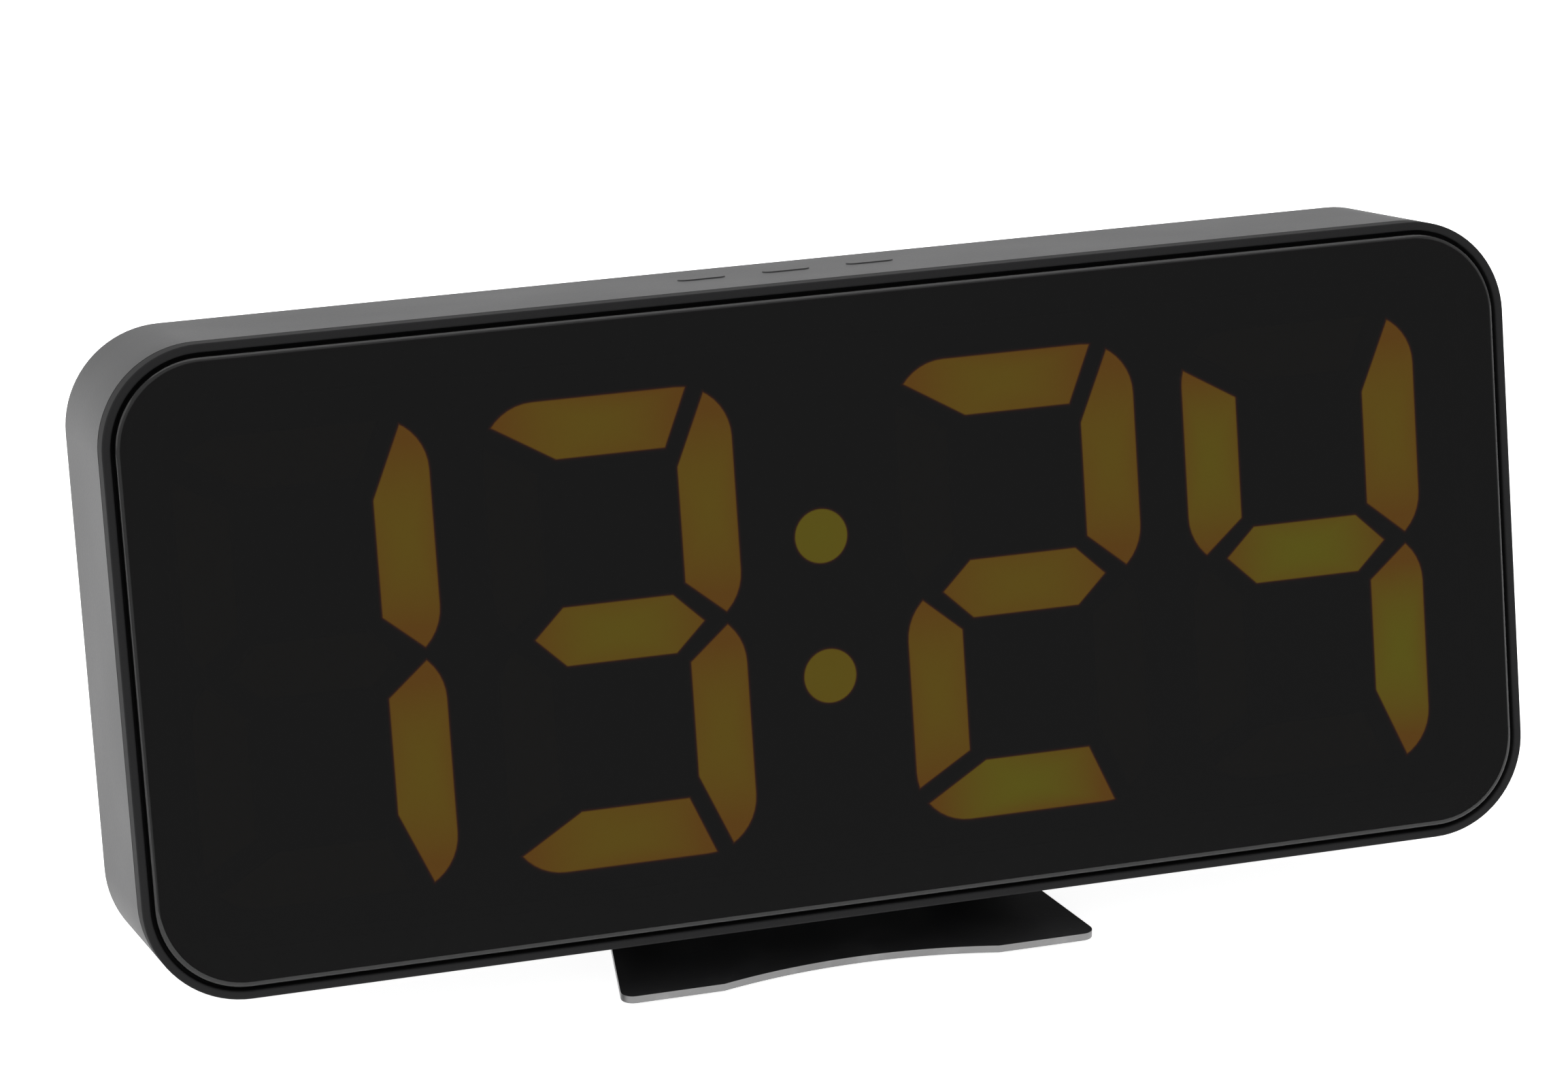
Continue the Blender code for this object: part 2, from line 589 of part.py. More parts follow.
def build_buttons():
    """Five push buttons in the back wall, each with a retaining flange and its tact switch."""
    seat = MAIN_BOARD[1] + GAP
    flange = INNER_BACK - GAP
    for name, x in BUTTON_X.items():
        at = (x, BUTTON_Z)
        top = CASE_BACK + BUTTON_OUT
        cap = soften(prism([rounded(*BUTTON_SIZE, 2.1, at, 4)], flange - 0.5, top), top, 0.5)
        button = add_part(f"{name}_button", cap, "button", origin=(x, CASE_BACK, BUTTON_Z))
        skirt = rounded(BUTTON_SIZE[0] + 2.4, BUTTON_SIZE[1] + 2.4, 3, at, 2)
        unite(button, prism([skirt], flange - 0.8, flange))
        unite(button, rod((x, 24.4, BUTTON_Z), (x, flange - 0.4, BUTTON_Z), 1.5, 12))
        body = block((x - 3, seat, BUTTON_Z - 3), (x + 3, seat + 3, BUTTON_Z + 3))
        switch = add_part(f"{name}_switch", body, "component")
        unite(switch, rod((x, seat + 2.6, BUTTON_Z), (x, seat + 3.6, BUTTON_Z), 1.6, 12))


def build_slide_switch():
    """Alarm switch: its body on the main board and the knob in its pocket, at one end of its travel."""
    x, z = SWITCH_AT
    seat = MAIN_BOARD[1] + GAP
    add_part("slide_switch", block((x - 6, seat, z - 2.7), (x + 6, seat + 4.0, z + 2.7)), "component")
    left = x - SWITCH_TRAVEL / 2
    stem = block((left - 1.5, seat + 4.0 + GAP, z - 1.2), (left + 1.5, CASE_BACK - 0.6, z + 1.2))
    knob = add_part("slide_knob", stem, "button", origin=(left, CASE_BACK, z))
    top = CASE_BACK + 0.2
    cap = prism([rounded(4.6, 5.2, 0.8, (left, z), 2)], CASE_BACK - 0.9, top)
    unite(knob, soften(cap, top, 0.3, 1))


def build_touch_plate():
    """Touch plate under the top of the shell and its wire, and the blank rating label."""
    roof = CASE_H / 2 - WALL - GAP
    add_part("touch_plate", block((-22, 10, roof - 0.5), (22, 22, roof)), "copper")
    route = [(14.0, 16.9, 21.5), (14.0, 16.8, 25.5), (12.5, 16.2, 29.0), (11.0, 15.6, 32.5),
             (10.5, 15.5, roof - 1.0)]
    wire = bpy.data.curves.new("touch_wire", "CURVE")
    wire.dimensions = "3D"
    wire.bevel_depth = 0.5 * MM
    wire.bevel_resolution = 2
    wire.use_fill_caps = True
    spline = wire.splines.new("POLY")
    spline.points.add(len(route) - 1)
    for point, place in zip(spline.points, route):
        point.co = (*(Vector(place) * MM), 1.0)
    guide = bpy.data.objects.new("touch_wire_route", wire)
    bpy.context.scene.collection.objects.link(guide)
    evaluated = guide.evaluated_get(bpy.context.evaluated_depsgraph_get())
    mesh = bpy.data.meshes.new_from_object(evaluated)
    bpy.data.objects.remove(guide)
    solid = bmesh.new()
    solid.from_mesh(mesh)
    bmesh.ops.remove_doubles(solid, verts=solid.verts, dist=1e-7)
    bmesh.ops.recalc_face_normals(solid, faces=solid.faces)
    add_part("touch_wire", solid, "copper")
    label = prism([rounded(*LABEL_SIZE, 1.0, LABEL_AT, 2)], CASE_BACK - GAP, CASE_BACK)
    add_part("rating_label", label, "label")


# ---- foot -----------------------------------------------------------------------------------------

def foot_outline():
    """Plan of the foot: wider in front, with a shallow arc taken out of its front edge."""
    rear_half_w = FOOT_HALF_W - FOOT_TAPER * (FOOT_REAR - FOOT_FRONT)
    sweep_r = (RECESS_HALF_W ** 2 + RECESS_DEPTH ** 2) / (2 * RECESS_DEPTH)
    sweep = math.degrees(math.asin(RECESS_HALF_W / sweep_r))
    recess = arc((0.0, FOOT_FRONT + RECESS_DEPTH - sweep_r), sweep_r, 90 + sweep, 90 - sweep, 10)
    front = (FOOT_HALF_W - FRONT_CORNER_R - 0.2, FOOT_FRONT + FRONT_CORNER_R)
    rear = (rear_half_w - REAR_CORNER_R + 0.3, FOOT_REAR - REAR_CORNER_R)
    right = arc(front, FRONT_CORNER_R, -90, 11) + arc(rear, REAR_CORNER_R, 11, 90)
    left = [(-x, y) for x, y in reversed(right)]
    return recess + right + left


def build_foot():
    """Bent sheet foot with two ears, its hinge pins and clips, and four thin pads."""
    top = -AXIS_OVER_PLATE
    plate = prism([foot_outline()], top - PLATE_T, top, "z")
    foot = add_part("foot_plate", plate, "foot_steel", "foot_frame")
    ear = arc((0.0, 0.0), LUG_R, 0, 180, 8) + [(-LUG_R, top - 0.4), (LUG_R, top - 0.4)]
    for side, name in ((-1, "left"), (1, "right")):
        unite(foot, prism([ear], *span(side, *EAR_X), "x"))
        head = prism([circle(1.8)], *span(side, LUG_X[0] - GAP - 0.8, LUG_X[0] - GAP), "x")
        pin = add_part(f"hinge_pin_{name}", head, "tin", "foot_frame")
        shank = circle(HINGE_R, steps=12)
        unite(pin, prism([shank], *span(side, LUG_X[0] - GAP - 0.4, EAR_X[1] + 1.7), "x"))
        clip = arc((0.0, 0.0), 2.2, -60, 240, 12) + arc((0.0, 0.0), HINGE_R + GAP, 240, -60, 12)
        clip = prism([clip], *span(side, EAR_X[1] + GAP, EAR_X[1] + GAP + 0.6), "x")
        add_part(f"hinge_clip_{name}", clip, "tin", "foot_frame")
    cut(foot, prism([circle(HINGE_R + GAP, steps=12)], -EAR_X[1] - 1, EAR_X[1] + 1, "x"))
    under = top - PLATE_T - GAP
    length, width, corner = PAD_SIZE
    for name, at in PADS.items():
        pad = prism([rounded(length, width, corner, at, 2)], under - PAD_T, under, "z")
        add_part(f"foot_pad_{name}", pad, "rubber", "foot_frame")


def main():
    """Builds every piece."""
    start_scene()
    build_housing()
    build_front_frame()
    build_lens()
    build_case_screws()
    build_mask()
    build_guides()
    build_display_board()
    build_main_board()
    build_power_inlet()
    build_sounder()
    build_cell()
    build_buttons()
    build_slide_switch()
    build_touch_plate()
    build_foot()


main()
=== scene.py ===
"""Looks of a leaning table alarm clock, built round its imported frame.

Pieces of the case are modelled upright in the case's own frame, in metres: x to the right, y from the
lens front towards the back, z up the face, with the origin in the middle of the lens front. They are
then leaned back into the row frame, where the CAD nodes lie.
"""

from __future__ import annotations

import json
import logging
import math
from dataclasses import dataclass, field
from enum import Enum
from functools import partial
from itertools import accumulate
from typing import Callable, Dict, Iterable, List, Optional, Sequence, Tuple, Union

import bmesh
import bpy
from mathutils import Matrix, Vector

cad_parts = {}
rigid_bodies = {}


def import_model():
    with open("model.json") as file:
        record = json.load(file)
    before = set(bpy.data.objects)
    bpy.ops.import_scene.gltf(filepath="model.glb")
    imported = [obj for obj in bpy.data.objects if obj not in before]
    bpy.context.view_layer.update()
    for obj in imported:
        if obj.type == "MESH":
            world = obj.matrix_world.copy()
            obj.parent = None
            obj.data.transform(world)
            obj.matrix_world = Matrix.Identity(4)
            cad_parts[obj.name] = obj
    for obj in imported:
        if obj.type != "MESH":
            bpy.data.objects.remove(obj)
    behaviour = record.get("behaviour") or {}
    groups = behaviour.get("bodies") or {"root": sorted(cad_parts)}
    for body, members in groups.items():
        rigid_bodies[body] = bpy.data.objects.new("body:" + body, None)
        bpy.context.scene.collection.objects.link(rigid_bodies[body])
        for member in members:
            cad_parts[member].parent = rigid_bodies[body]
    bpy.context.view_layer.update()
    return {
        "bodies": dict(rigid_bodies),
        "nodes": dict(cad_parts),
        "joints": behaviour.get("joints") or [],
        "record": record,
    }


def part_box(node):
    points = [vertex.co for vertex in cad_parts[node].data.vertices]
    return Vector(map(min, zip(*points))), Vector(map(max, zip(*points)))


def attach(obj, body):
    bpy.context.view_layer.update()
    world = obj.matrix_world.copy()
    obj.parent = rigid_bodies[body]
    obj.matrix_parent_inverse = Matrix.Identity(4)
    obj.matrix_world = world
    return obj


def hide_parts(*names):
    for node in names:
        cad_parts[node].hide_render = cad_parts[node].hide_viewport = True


LOG = logging.getLogger("alarm_clock")
MM = 0.001
TINY = 1e-6
BUTTONS = ("mode", "hour", "minute", "alarm", "dimmer")
Colour = Tuple[float, float, float]
Point = Tuple[float, float]
Element = Union[bmesh.types.BMEdge, bmesh.types.BMFace]


class Way(Enum):
    """Directions of the case frame."""

    ACROSS = Vector((1.0, 0.0, 0.0))
    DEEP = Vector((0.0, 1.0, 0.0))
    UP = Vector((0.0, 0.0, 1.0))


class Body(Enum):
    """Moving groups that the pieces ride on."""

    CLOCK = "clock"
    FOOT = "foot"
    DOOR = "battery_door"
    KNOB = "slide_knob"


class Slot(Enum):
    """Finishes named by the record."""

    SHELL = "shell"
    FRAME = "frame"
    LENS = "lens"
    GLOW = "display_glow"
    BUTTON = "button"
    FOOT = "foot"
    RUBBER = "rubber"
    TIN = "tin"
    COMPONENT = "component"
    LABEL = "label"


# ---- frame ----------------------------------------------------------------------------------------


@dataclass(frozen=True)
class Extent:
    """Box between two corners."""

    low: Vector
    high: Vector

    @property
    def size(self) -> Vector:
        """Lengths of the box."""
        return self.high - self.low

    @property
    def centre(self) -> Vector:
        """Middle of the box."""
        return (self.high + self.low) / 2

    def grown(self, by: Vector) -> "Extent":
        """The box with every face moved outwards."""
        return Extent(self.low - by, self.high + by)


class CaseFrame:
    """The leaning frame that the case was designed in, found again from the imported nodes."""

    def __init__(self, frame: dict) -> None:
        """Finds the lean from a button's travel and the origin from the lens.
        """
        self.nodes: Dict[str, bpy.types.Object] = frame["nodes"]
        self.joints: Dict[str, dict] = {joint["name"]: joint for joint in frame["joints"]}
        deep = -Vector(self.joints["mode_press"]["axis"]).normalized()
        up = Way.ACROSS.value.cross(deep)
        self.matrix = Matrix((Way.ACROSS.value, deep, up)).transposed().to_4x4()
        lens = self.extent("lens")
        origin = Vector((lens.centre.x, lens.low.y, lens.centre.z))
        self.matrix.translation = self.matrix @ origin

    def extent(self, node: str, beyond: float = -1.0) -> Extent:
        """Box of a node in the case frame.

        Args:
            node: Name of the CAD node.
            beyond: Only corners deeper than this count.

        Returns:
            The box round those corners.
        """
        into = self.matrix.inverted()
        corners = [into @ vert.co for vert in self.nodes[node].data.vertices]
        corners = [corner for corner in corners if corner.y > beyond]
        low = Vector(min(corner[axis] for corner in corners) for axis in range(3))
        high = Vector(max(corner[axis] for corner in corners) for axis in range(3))
        return Extent(low, high)

    def place(self, point: Sequence[float]) -> Vector:
        """A point of the row frame in the case frame."""
        return self.matrix.inverted() @ Vector(point)

    def lean(self, piece: bpy.types.Object) -> None:
        """Leans a piece modelled upright back into the row frame, and leaves its object at the origin."""
        Bench.focus(piece)
        piece.matrix_world = self.matrix
        bpy.ops.object.transform_apply(location=True, rotation=True, scale=True)


# ---- modelling ------------------------------------------------------------------------------------


class Bench:
    """Modelling by hand: primitives, selections made in code, and operators in edit mode."""

    @staticmethod
    def clear() -> None:
        """Leaves edit mode and deselects everything."""
        if bpy.context.object and bpy.context.object.mode != "OBJECT":
            bpy.ops.object.mode_set(mode="OBJECT")
        bpy.ops.object.select_all(action="DESELECT")

    @staticmethod
    def focus(piece: bpy.types.Object) -> None:
        """Selects one piece alone and makes it active."""
        Bench.clear()
        piece.select_set(True)
        bpy.context.view_layer.objects.active = piece

    @staticmethod
    def cube(name: str, box: Extent) -> bpy.types.Object:
        """Adds a cube primitive that fills a box."""
        Bench.clear()
        bpy.ops.mesh.primitive_cube_add(size=1.0, location=box.centre)
        piece = bpy.context.object
        piece.name = name
        piece.scale = box.size
        bpy.ops.object.transform_apply(location=True, rotation=True, scale=True)
        return piece

    @staticmethod
    def drum(name: str, centre: Vector, radius: float, length: float, way: Way,
             sides: int = 48) -> bpy.types.Object:
        """Adds a cylinder primitive about a point.

        Args:
            name: Name of the piece.
            centre: Its middle.
            radius: Its radius.
            length: Its length.
            way: Direction of its axis.
            sides: Number of its side faces.

        Returns:
            The new piece, with its turn applied.
        """
        Bench.clear()
        turn = way.value.to_track_quat("Z", "Y").to_euler()
        bpy.ops.mesh.primitive_cylinder_add(vertices=sides, radius=radius, depth=length, location=centre,
                                            rotation=turn)
        piece = bpy.context.object
        piece.name = name
        bpy.ops.object.transform_apply(location=True, rotation=True, scale=True)
        return piece

    @staticmethod
    def pick(piece: bpy.types.Object, kind: str, test: Callable[[Element], bool]) -> int:
        """Enters edit mode with only the parts of a mesh that pass a test selected.

        Args:
            piece: The piece.
            kind: "edges" or "faces".
            test: Says whether an edge or a face is wanted.

        Returns:
            The number selected.
        """
        Bench.focus(piece)
        bpy.context.tool_settings.mesh_select_mode = (False, kind == "edges", kind == "faces")
        bpy.ops.object.mode_set(mode="EDIT")
        bpy.ops.mesh.select_all(action="DESELECT")
        mesh = bmesh.from_edit_mesh(piece.data)
        picked = [part for part in getattr(mesh, kind) if test(part)]
        for part in picked:
            part.select_set(True)
        bmesh.update_edit_mesh(piece.data)
        return len(picked)

    @staticmethod
    def facing(way: Vector, at: Optional[float] = None) -> Callable[[bmesh.types.BMFace], bool]:
        """Test for flat faces that look along a direction, at one distance along it if that is given."""
        def test(face: bmesh.types.BMFace) -> bool:
            level = face.calc_center_median().dot(way)
            return face.normal.dot(way) > 0.999 and (at is None or abs(level - at) < 10 * TINY)

        return test

    @staticmethod
    def rim_of(way: Vector, at: float) -> Callable[[bmesh.types.BMEdge], bool]:
        """Test for the edges round a flat face that looks along a direction at one distance along it."""
        def test(edge: bmesh.types.BMEdge) -> bool:
            level = all(abs(vert.co.dot(way) - at) < TINY for vert in edge.verts)
            return level and sum(face.normal.dot(way) > 0.999 for face in edge.link_faces) == 1

        return test

    @staticmethod
    def bevel(width: float, segments: int) -> None:
        """Rounds the selected edges."""
        bpy.ops.mesh.bevel(offset=width, segments=segments, profile=0.5, affect="EDGES", clamp_overlap=False)

    @staticmethod
    def inset(width: float) -> None:
        """Insets the selected face."""
        bpy.ops.mesh.inset(thickness=width, depth=0.0, use_boundary=True)

    @staticmethod
    def extrude(by: Vector) -> None:
        """Extrudes the selected face."""
        bpy.ops.mesh.extrude_region_move(TRANSFORM_OT_translate={"value": by})

    @staticmethod
    def done() -> None:
        """Leaves edit mode."""
        bpy.ops.object.mode_set(mode="OBJECT")

    @staticmethod
    def slab(name: str, box: Extent, radius: float, segments: int = 8,
             way: Way = Way.DEEP) -> bpy.types.Object:
        """Box whose edges along one direction are rounded.

        Args:
            name: Name of the piece.
            box: Its extent.
            radius: Corner radius.
            segments: Faces in each corner.
            way: Direction of the rounded edges.

        Returns:
            The new piece.
        """
        piece = Bench.cube(name, box)
        along = way.value

        def runs_along(edge: bmesh.types.BMEdge) -> bool:
            span = edge.verts[1].co - edge.verts[0].co
            return abs(span.normalized().dot(along)) > 0.999

        Bench.pick(piece, "edges", runs_along)
        Bench.bevel(radius, segments)
        Bench.done()
        return piece

    @staticmethod
    def carve(piece: bpy.types.Object, *tools: bpy.types.Object, join: bool = False) -> None:
        """Takes tools away from a piece, or joins them to it, and removes the tools."""
        for tool in tools:
            modifier = piece.modifiers.new("carve", "BOOLEAN")
            modifier.operation = "UNION" if join else "DIFFERENCE"
            modifier.object = tool
            Bench.focus(piece)
            bpy.ops.object.modifier_apply(modifier=modifier.name)
            bpy.data.objects.remove(tool)

    @staticmethod
    def join(name: str, pieces: List[bpy.types.Object]) -> bpy.types.Object:
        """Makes one object of several pieces, their corners in the pieces' order."""
        Bench.clear()
        for piece in pieces:
            piece.select_set(True)
        bpy.context.view_layer.objects.active = pieces[0]
        bpy.ops.object.join()
        pieces[0].name = name
        return pieces[0]

    @staticmethod
    def soften(piece: bpy.types.Object, width: float, segments: int = 2, angle: float = 40.0) -> None:
        """Gives a piece's sharp edges a small bevel and shades the rest smooth.

        Args:
            piece: The piece.
            width: Width of the bevel.
            segments: Faces across it.
            angle: Edges sharper than this many degrees are bevelled.
        """
        modifier = piece.modifiers.new("edges", "BEVEL")
        modifier.width = width
        modifier.segments = segments
        modifier.limit_method = "ANGLE"
        modifier.angle_limit = math.radians(angle)
        modifier.use_clamp_overlap = True
        modifier.harden_normals = False
        Bench.focus(piece)
        bpy.ops.object.modifier_apply(modifier=modifier.name)
        Bench.smooth(piece)

    @staticmethod
    def smooth(piece: bpy.types.Object, angle: float = 30.0) -> None:
        """Shades a piece smooth except across sharp edges, and keeps its large flats flat."""
        Bench.focus(piece)
        bpy.ops.object.shade_smooth_by_angle(angle=math.radians(angle))
        modifier = piece.modifiers.new("flats", "WEIGHTED_NORMAL")
        modifier.weight = 100
        modifier.keep_sharp = True
        bpy.ops.object.modifier_apply(modifier=modifier.name)

    @staticmethod
    def traced(name: str, node: bpy.types.Object, width: float) -> bpy.types.Object:
        """A finer twin of a CAD node: merged, its flats cleaned, its sharp edges rounded.

        Args:
            name: Name of the piece.
            node: The CAD node's object.
            width: Width of the bevel on its sharp edges.

        Returns:
            The new piece, where the node lies.
        """
        piece = bpy.data.objects.new(name, node.data.copy())
        bpy.context.scene.collection.objects.link(piece)
        piece.data.materials.clear()
        Bench.focus(piece)
        bpy.ops.mesh.customdata_custom_splitnormals_clear()
        bpy.ops.object.mode_set(mode="EDIT")
        bpy.ops.mesh.select_all(action="SELECT")
        bpy.ops.mesh.remove_doubles(threshold=TINY)
        bpy.ops.mesh.dissolve_limited(angle_limit=math.radians(0.5))
        Bench.done()
        Bench.soften(piece, width)
        return piece


# ---- materials ------------------------------------------------------------------------------------


class Wire:
    """An output socket that takes part in Python expressions, which add Math nodes."""

    def __init__(self, sheet: "Sheet", socket: bpy.types.NodeSocket) -> None:
        """Wraps a socket of a material sheet."""
        self.sheet = sheet
        self.socket = socket

    def maths(self, operation: str, other: "Value" = 0.0, swapped: bool = False) -> "Wire":
        """A Math node of this value and another one.

        Args:
            operation: The node's operation.
            other: The second value.
            swapped: Whether the other value comes first.

        Returns:
            The result.
        """
        first, second = (other, self) if swapped else (self, other)
        return self.sheet.node("ShaderNodeMath", {"operation": operation}, {0: first, 1: second})

    def __add__(self, other: "Value") -> "Wire":
        """Sum."""
        return self.maths("ADD", other)

    __radd__ = __add__

    def __sub__(self, other: "Value") -> "Wire":
        """Difference."""
        return self.maths("SUBTRACT", other)

    def __rsub__(self, other: "Value") -> "Wire":
        """Difference from a number."""
        return self.maths("SUBTRACT", other, swapped=True)

    def __mul__(self, other: "Value") -> "Wire":
        """Product."""
        return self.maths("MULTIPLY", other)

    __rmul__ = __mul__

    def __pow__(self, other: "Value") -> "Wire":
        """Power."""
        return self.maths("POWER", other)

    def between(self, low: float, high: float) -> "Wire":
        """How far the value has gone from one number to another, smoothly and held at both ends."""
        settings = {"interpolation_type": "SMOOTHSTEP"}
        limits = {"From Min": low, "From Max": high}
        return self.sheet.node("ShaderNodeMapRange", settings, {"Value": self, **limits})


Value = Union[float, Wire]
Tint = Union[Colour, Wire]


class Sheet:
    """One material and the nodes that make it."""

    def __init__(self, name: str) -> None:
        """Starts a material with its Principled shader."""
        self.material = bpy.data.materials.new(name)
        self.material.use_nodes = True
        self.tree = self.material.node_tree
        self.shader = self.tree.nodes["Principled BSDF"]

    def node(self, kind: str, settings: Optional[dict] = None, inputs: Optional[dict] = None,
             output: Union[int, str] = 0) -> Wire:
        """Adds a node.

        Args:
            kind: The node's type.
            settings: Its settings, set before its inputs.
            inputs: Values or wires for its sockets, by name or number.
            output: The output wanted.

        Returns:
            That output.
        """
        made = self.tree.nodes.new(kind)
        for key, value in (settings or {}).items():
            setattr(made, key, value)
        for key, value in (inputs or {}).items():
            self.feed(made.inputs[key], value)
        return Wire(self, made.outputs[output])

    def feed(self, socket: bpy.types.NodeSocket, value: object) -> None:
        """Links a wire to a socket, or sets the socket's own value."""
        if isinstance(value, Wire):
            self.tree.links.new(value.socket, socket)
        elif isinstance(value, tuple) and socket.type == "RGBA":
            socket.default_value = (*value, 1.0)
        else:
            socket.default_value = value

    def place(self) -> Wire:
        """Object coordinates."""
        return self.node("ShaderNodeTexCoord", output="Object")

    def noise(self, grain: float, detail: float = 2.0, stretch: Optional[Colour] = None) -> Wire:
        """Noise between 0 and 1.

        Args:
            grain: Size of its spots in metres.
            detail: Its octaves.
            stretch: How many times longer the spots are along each axis.

        Returns:
            Its value.
        """
        where = self.place()
        if stretch:
            scale = tuple(1.0 / length for length in stretch)
            where = self.node("ShaderNodeMapping", inputs={"Vector": where, "Scale": scale})
        sockets = {"Vector": where, "Scale": 1.0 / grain, "Detail": detail, "Roughness": 0.55}
        return self.node("ShaderNodeTexNoise", inputs=sockets, output="Fac")

    def cells(self, grain: float) -> Wire:
        """Distance to the nearest of scattered points, for pits and specks."""
        sockets = {"Vector": self.place(), "Scale": 1.0 / grain}
        return self.node("ShaderNodeTexVoronoi", inputs=sockets, output="Distance")

    def attribute(self, name: str) -> Wire:
        """A value painted on the piece's corners."""
        return self.node("ShaderNodeAttribute", {"attribute_name": name}, output="Fac")

    def mix(self, share: Value, low: Tint, high: Tint) -> Wire:
        """Colour between two colours."""
        return self.node("ShaderNodeMix", {"data_type": "RGBA"}, {0: share, 6: low, 7: high}, output=2)

    def bump(self, height: Value, depth: float, strength: float = 1.0) -> Wire:
        """Normal of a surface with relief; depth is its height in metres."""
        sockets = {"Height": height, "Distance": depth, "Strength": strength}
        return self.node("ShaderNodeBump", inputs=sockets, output="Normal")

    def set(self, **sockets: object) -> None:
        """Feeds the shader's sockets, named with _ for a space."""
        for key, value in sockets.items():
            self.feed(self.shader.inputs[key.replace("_", " ")], value)


@dataclass(frozen=True)
class Finish:
    """What all finishes share: a name and a base colour."""

    name: str
    base: Colour

    def dress(self, sheet: Sheet) -> None:
        """Sets the shader up."""
        raise NotImplementedError

    def material(self) -> bpy.types.Material:
        """The finish as a material, made once."""
        known = bpy.data.materials.get(self.name)
        if known:
            return known
        sheet = Sheet(self.name)
        self.dress(sheet)
        return sheet.material

    def shade(self, by: float) -> Colour:
        """The base colour made lighter or darker."""
        return tuple(min(1.0, part * by) for part in self.base)


@dataclass(frozen=True)
class GrainedPlastic(Finish):
    """Moulded plastic with the fine pitted grain that a spark-eroded mould leaves."""

    roughness: float = 0.5
    grain: float = 0.3 * MM
    relief: float = 0.02 * MM
    speckle: float = 0.12
    sheen: float = 0.5

    def dress(self, sheet: Sheet) -> None:
        """Grain in the normal, speckle in the colour, and slow changes of gloss."""
        fine = sheet.noise(self.grain, 3.0)
        pits = sheet.cells(self.grain * 1.6).between(0.0, 0.55)
        cloud = sheet.noise(22 * MM, 2.0)
        tone = (fine - 0.5) * self.speckle * 2 + (cloud - 0.5) * 0.06 + 0.5
        colour = sheet.mix(tone, self.shade(0.72), self.shade(1.28))
        height = fine * 0.6 + pits * 0.4
        sheet.set(Base_Color=colour, Roughness=self.roughness + (cloud - 0.5) * 0.08 + (fine - 0.5) * 0.06,
                  Normal=sheet.bump(height, self.relief), Specular_IOR_Level=self.sheen)


@dataclass(frozen=True)
class SmokedAcrylic(Finish):
    """Dark polished window that lets a little of the light behind it through."""

    see_through: float = 0.2

    def dress(self, sheet: Sheet) -> None:
        """Faint wiping marks in the gloss over a nearly black body."""
        wipe = sheet.noise(30 * MM, 3.0, stretch=(3.0, 1.0, 1.0))
        dust = sheet.cells(6 * MM).between(0.02, 0.045)
        colour = sheet.mix(dust, self.shade(3.0), self.base)
        sheet.set(Base_Color=colour, Roughness=0.045 + wipe * 0.03, Alpha=1.0 - self.see_through,
                  Specular_IOR_Level=0.5)


@dataclass(frozen=True)
class LitGuide(Finish):
    """Light guide that glows amber over its lamp, browner towards its ends, and dies red at its outline."""

    heart: Colour = (0.46, 0.282, 0.0)
    green_heart: Colour = (0.43, 0.36, 0.0)
    ends: Colour = (0.45, 0.185, 0.0)
    halo: Colour = (0.1, 0.012, 0.0)
    strength: float = 5.0

    def dress(self, sheet: Sheet) -> None:
        """Glow from the painted values: level (in from the outline), reach (from the lamp), bin (its hue)."""
        level = sheet.attribute("level")
        reach = sheet.attribute("reach")
        patch = sheet.noise(7 * MM, 2.0) * 0.24 + 0.88
        lamp = sheet.mix(sheet.attribute("bin"), self.heart, self.green_heart)
        inner = sheet.mix(reach ** 2.0 * patch, lamp, self.ends)
        edge = sheet.mix(level.between(0.0, 0.4), (0.0, 0.0, 0.0), self.halo)
        glow = sheet.mix(level.between(0.2, 1.0), edge, inner)
        sheet.set(Base_Color=self.base, Roughness=0.6, Emission_Color=glow, Emission_Strength=self.strength,
                  Specular_IOR_Level=0.1)


@dataclass(frozen=True)
class PaintedSheet(Finish):
    """Baked paint on steel sheet: slight orange peel, fine dust, and a pale front edge that is a painted
    reflection of the bright floor mixed with wear.
    """

    roughness: float = 0.28
    dust: Colour = (0.12, 0.12, 0.12)
    # Pale grey of the front edge: a painted reflection of the bright floor mixed with bare wear, painted on
    # faces that look the way given below.
    wear_and_reflection: Colour = (0.3, 0.3, 0.3)
    reflection_toward: Colour = (0.0, -1.0, 0.0)

    def dress(self, sheet: Sheet) -> None:
        """Orange peel in the normal, pale specks in the colour, and on what faces forwards a pale painted
        reflection of the floor, broken up by wear.
        """
        peel = sheet.noise(0.9 * MM, 2.0)
        speck = 1.0 - sheet.cells(1.3 * MM).between(0.05, 0.11)
        scuff = sheet.noise(5 * MM, 4.0).between(0.45, 0.8)
        fresh = sheet.mix(speck * 0.6 + scuff * 0.1, self.base, self.dust)
        # Painted reflection: faces that look forwards are lightened towards the pale grey as if they mirrored
        # the bright floor, and the scuff noise breaks it up like wear.
        normal = sheet.node("ShaderNodeNewGeometry", output="Normal")
        sockets = {0: normal, 1: self.reflection_toward}
        ahead = sheet.node("ShaderNodeVectorMath", {"operation": "DOT_PRODUCT"}, sockets, "Value")
        colour = sheet.mix(ahead.between(0.3, 0.9) * (0.7 + scuff * 0.3), fresh, self.wear_and_reflection)
        sheet.set(Base_Color=colour, Roughness=self.roughness + scuff * 0.1 + speck * 0.2,
                  Normal=sheet.bump(peel, 0.01 * MM), Specular_IOR_Level=0.5)


@dataclass(frozen=True)
class PlatedMetal(Finish):
    """Plated or foil metal with fine drawn lines and a dulled film."""

    roughness: float = 0.3

    def dress(self, sheet: Sheet) -> None:
        """Lines and dull patches in the roughness, with a trace of relief."""
        lines = sheet.noise(0.12 * MM, 2.0, stretch=(12.0, 1.0, 1.0))
        film = sheet.noise(3 * MM, 3.0)
        colour = sheet.mix(film, self.shade(0.8), self.base)
        sheet.set(Base_Color=colour, Metallic=1.0, Roughness=self.roughness + lines * 0.12 + film * 0.12,
                  Normal=sheet.bump(lines, 0.004 * MM))


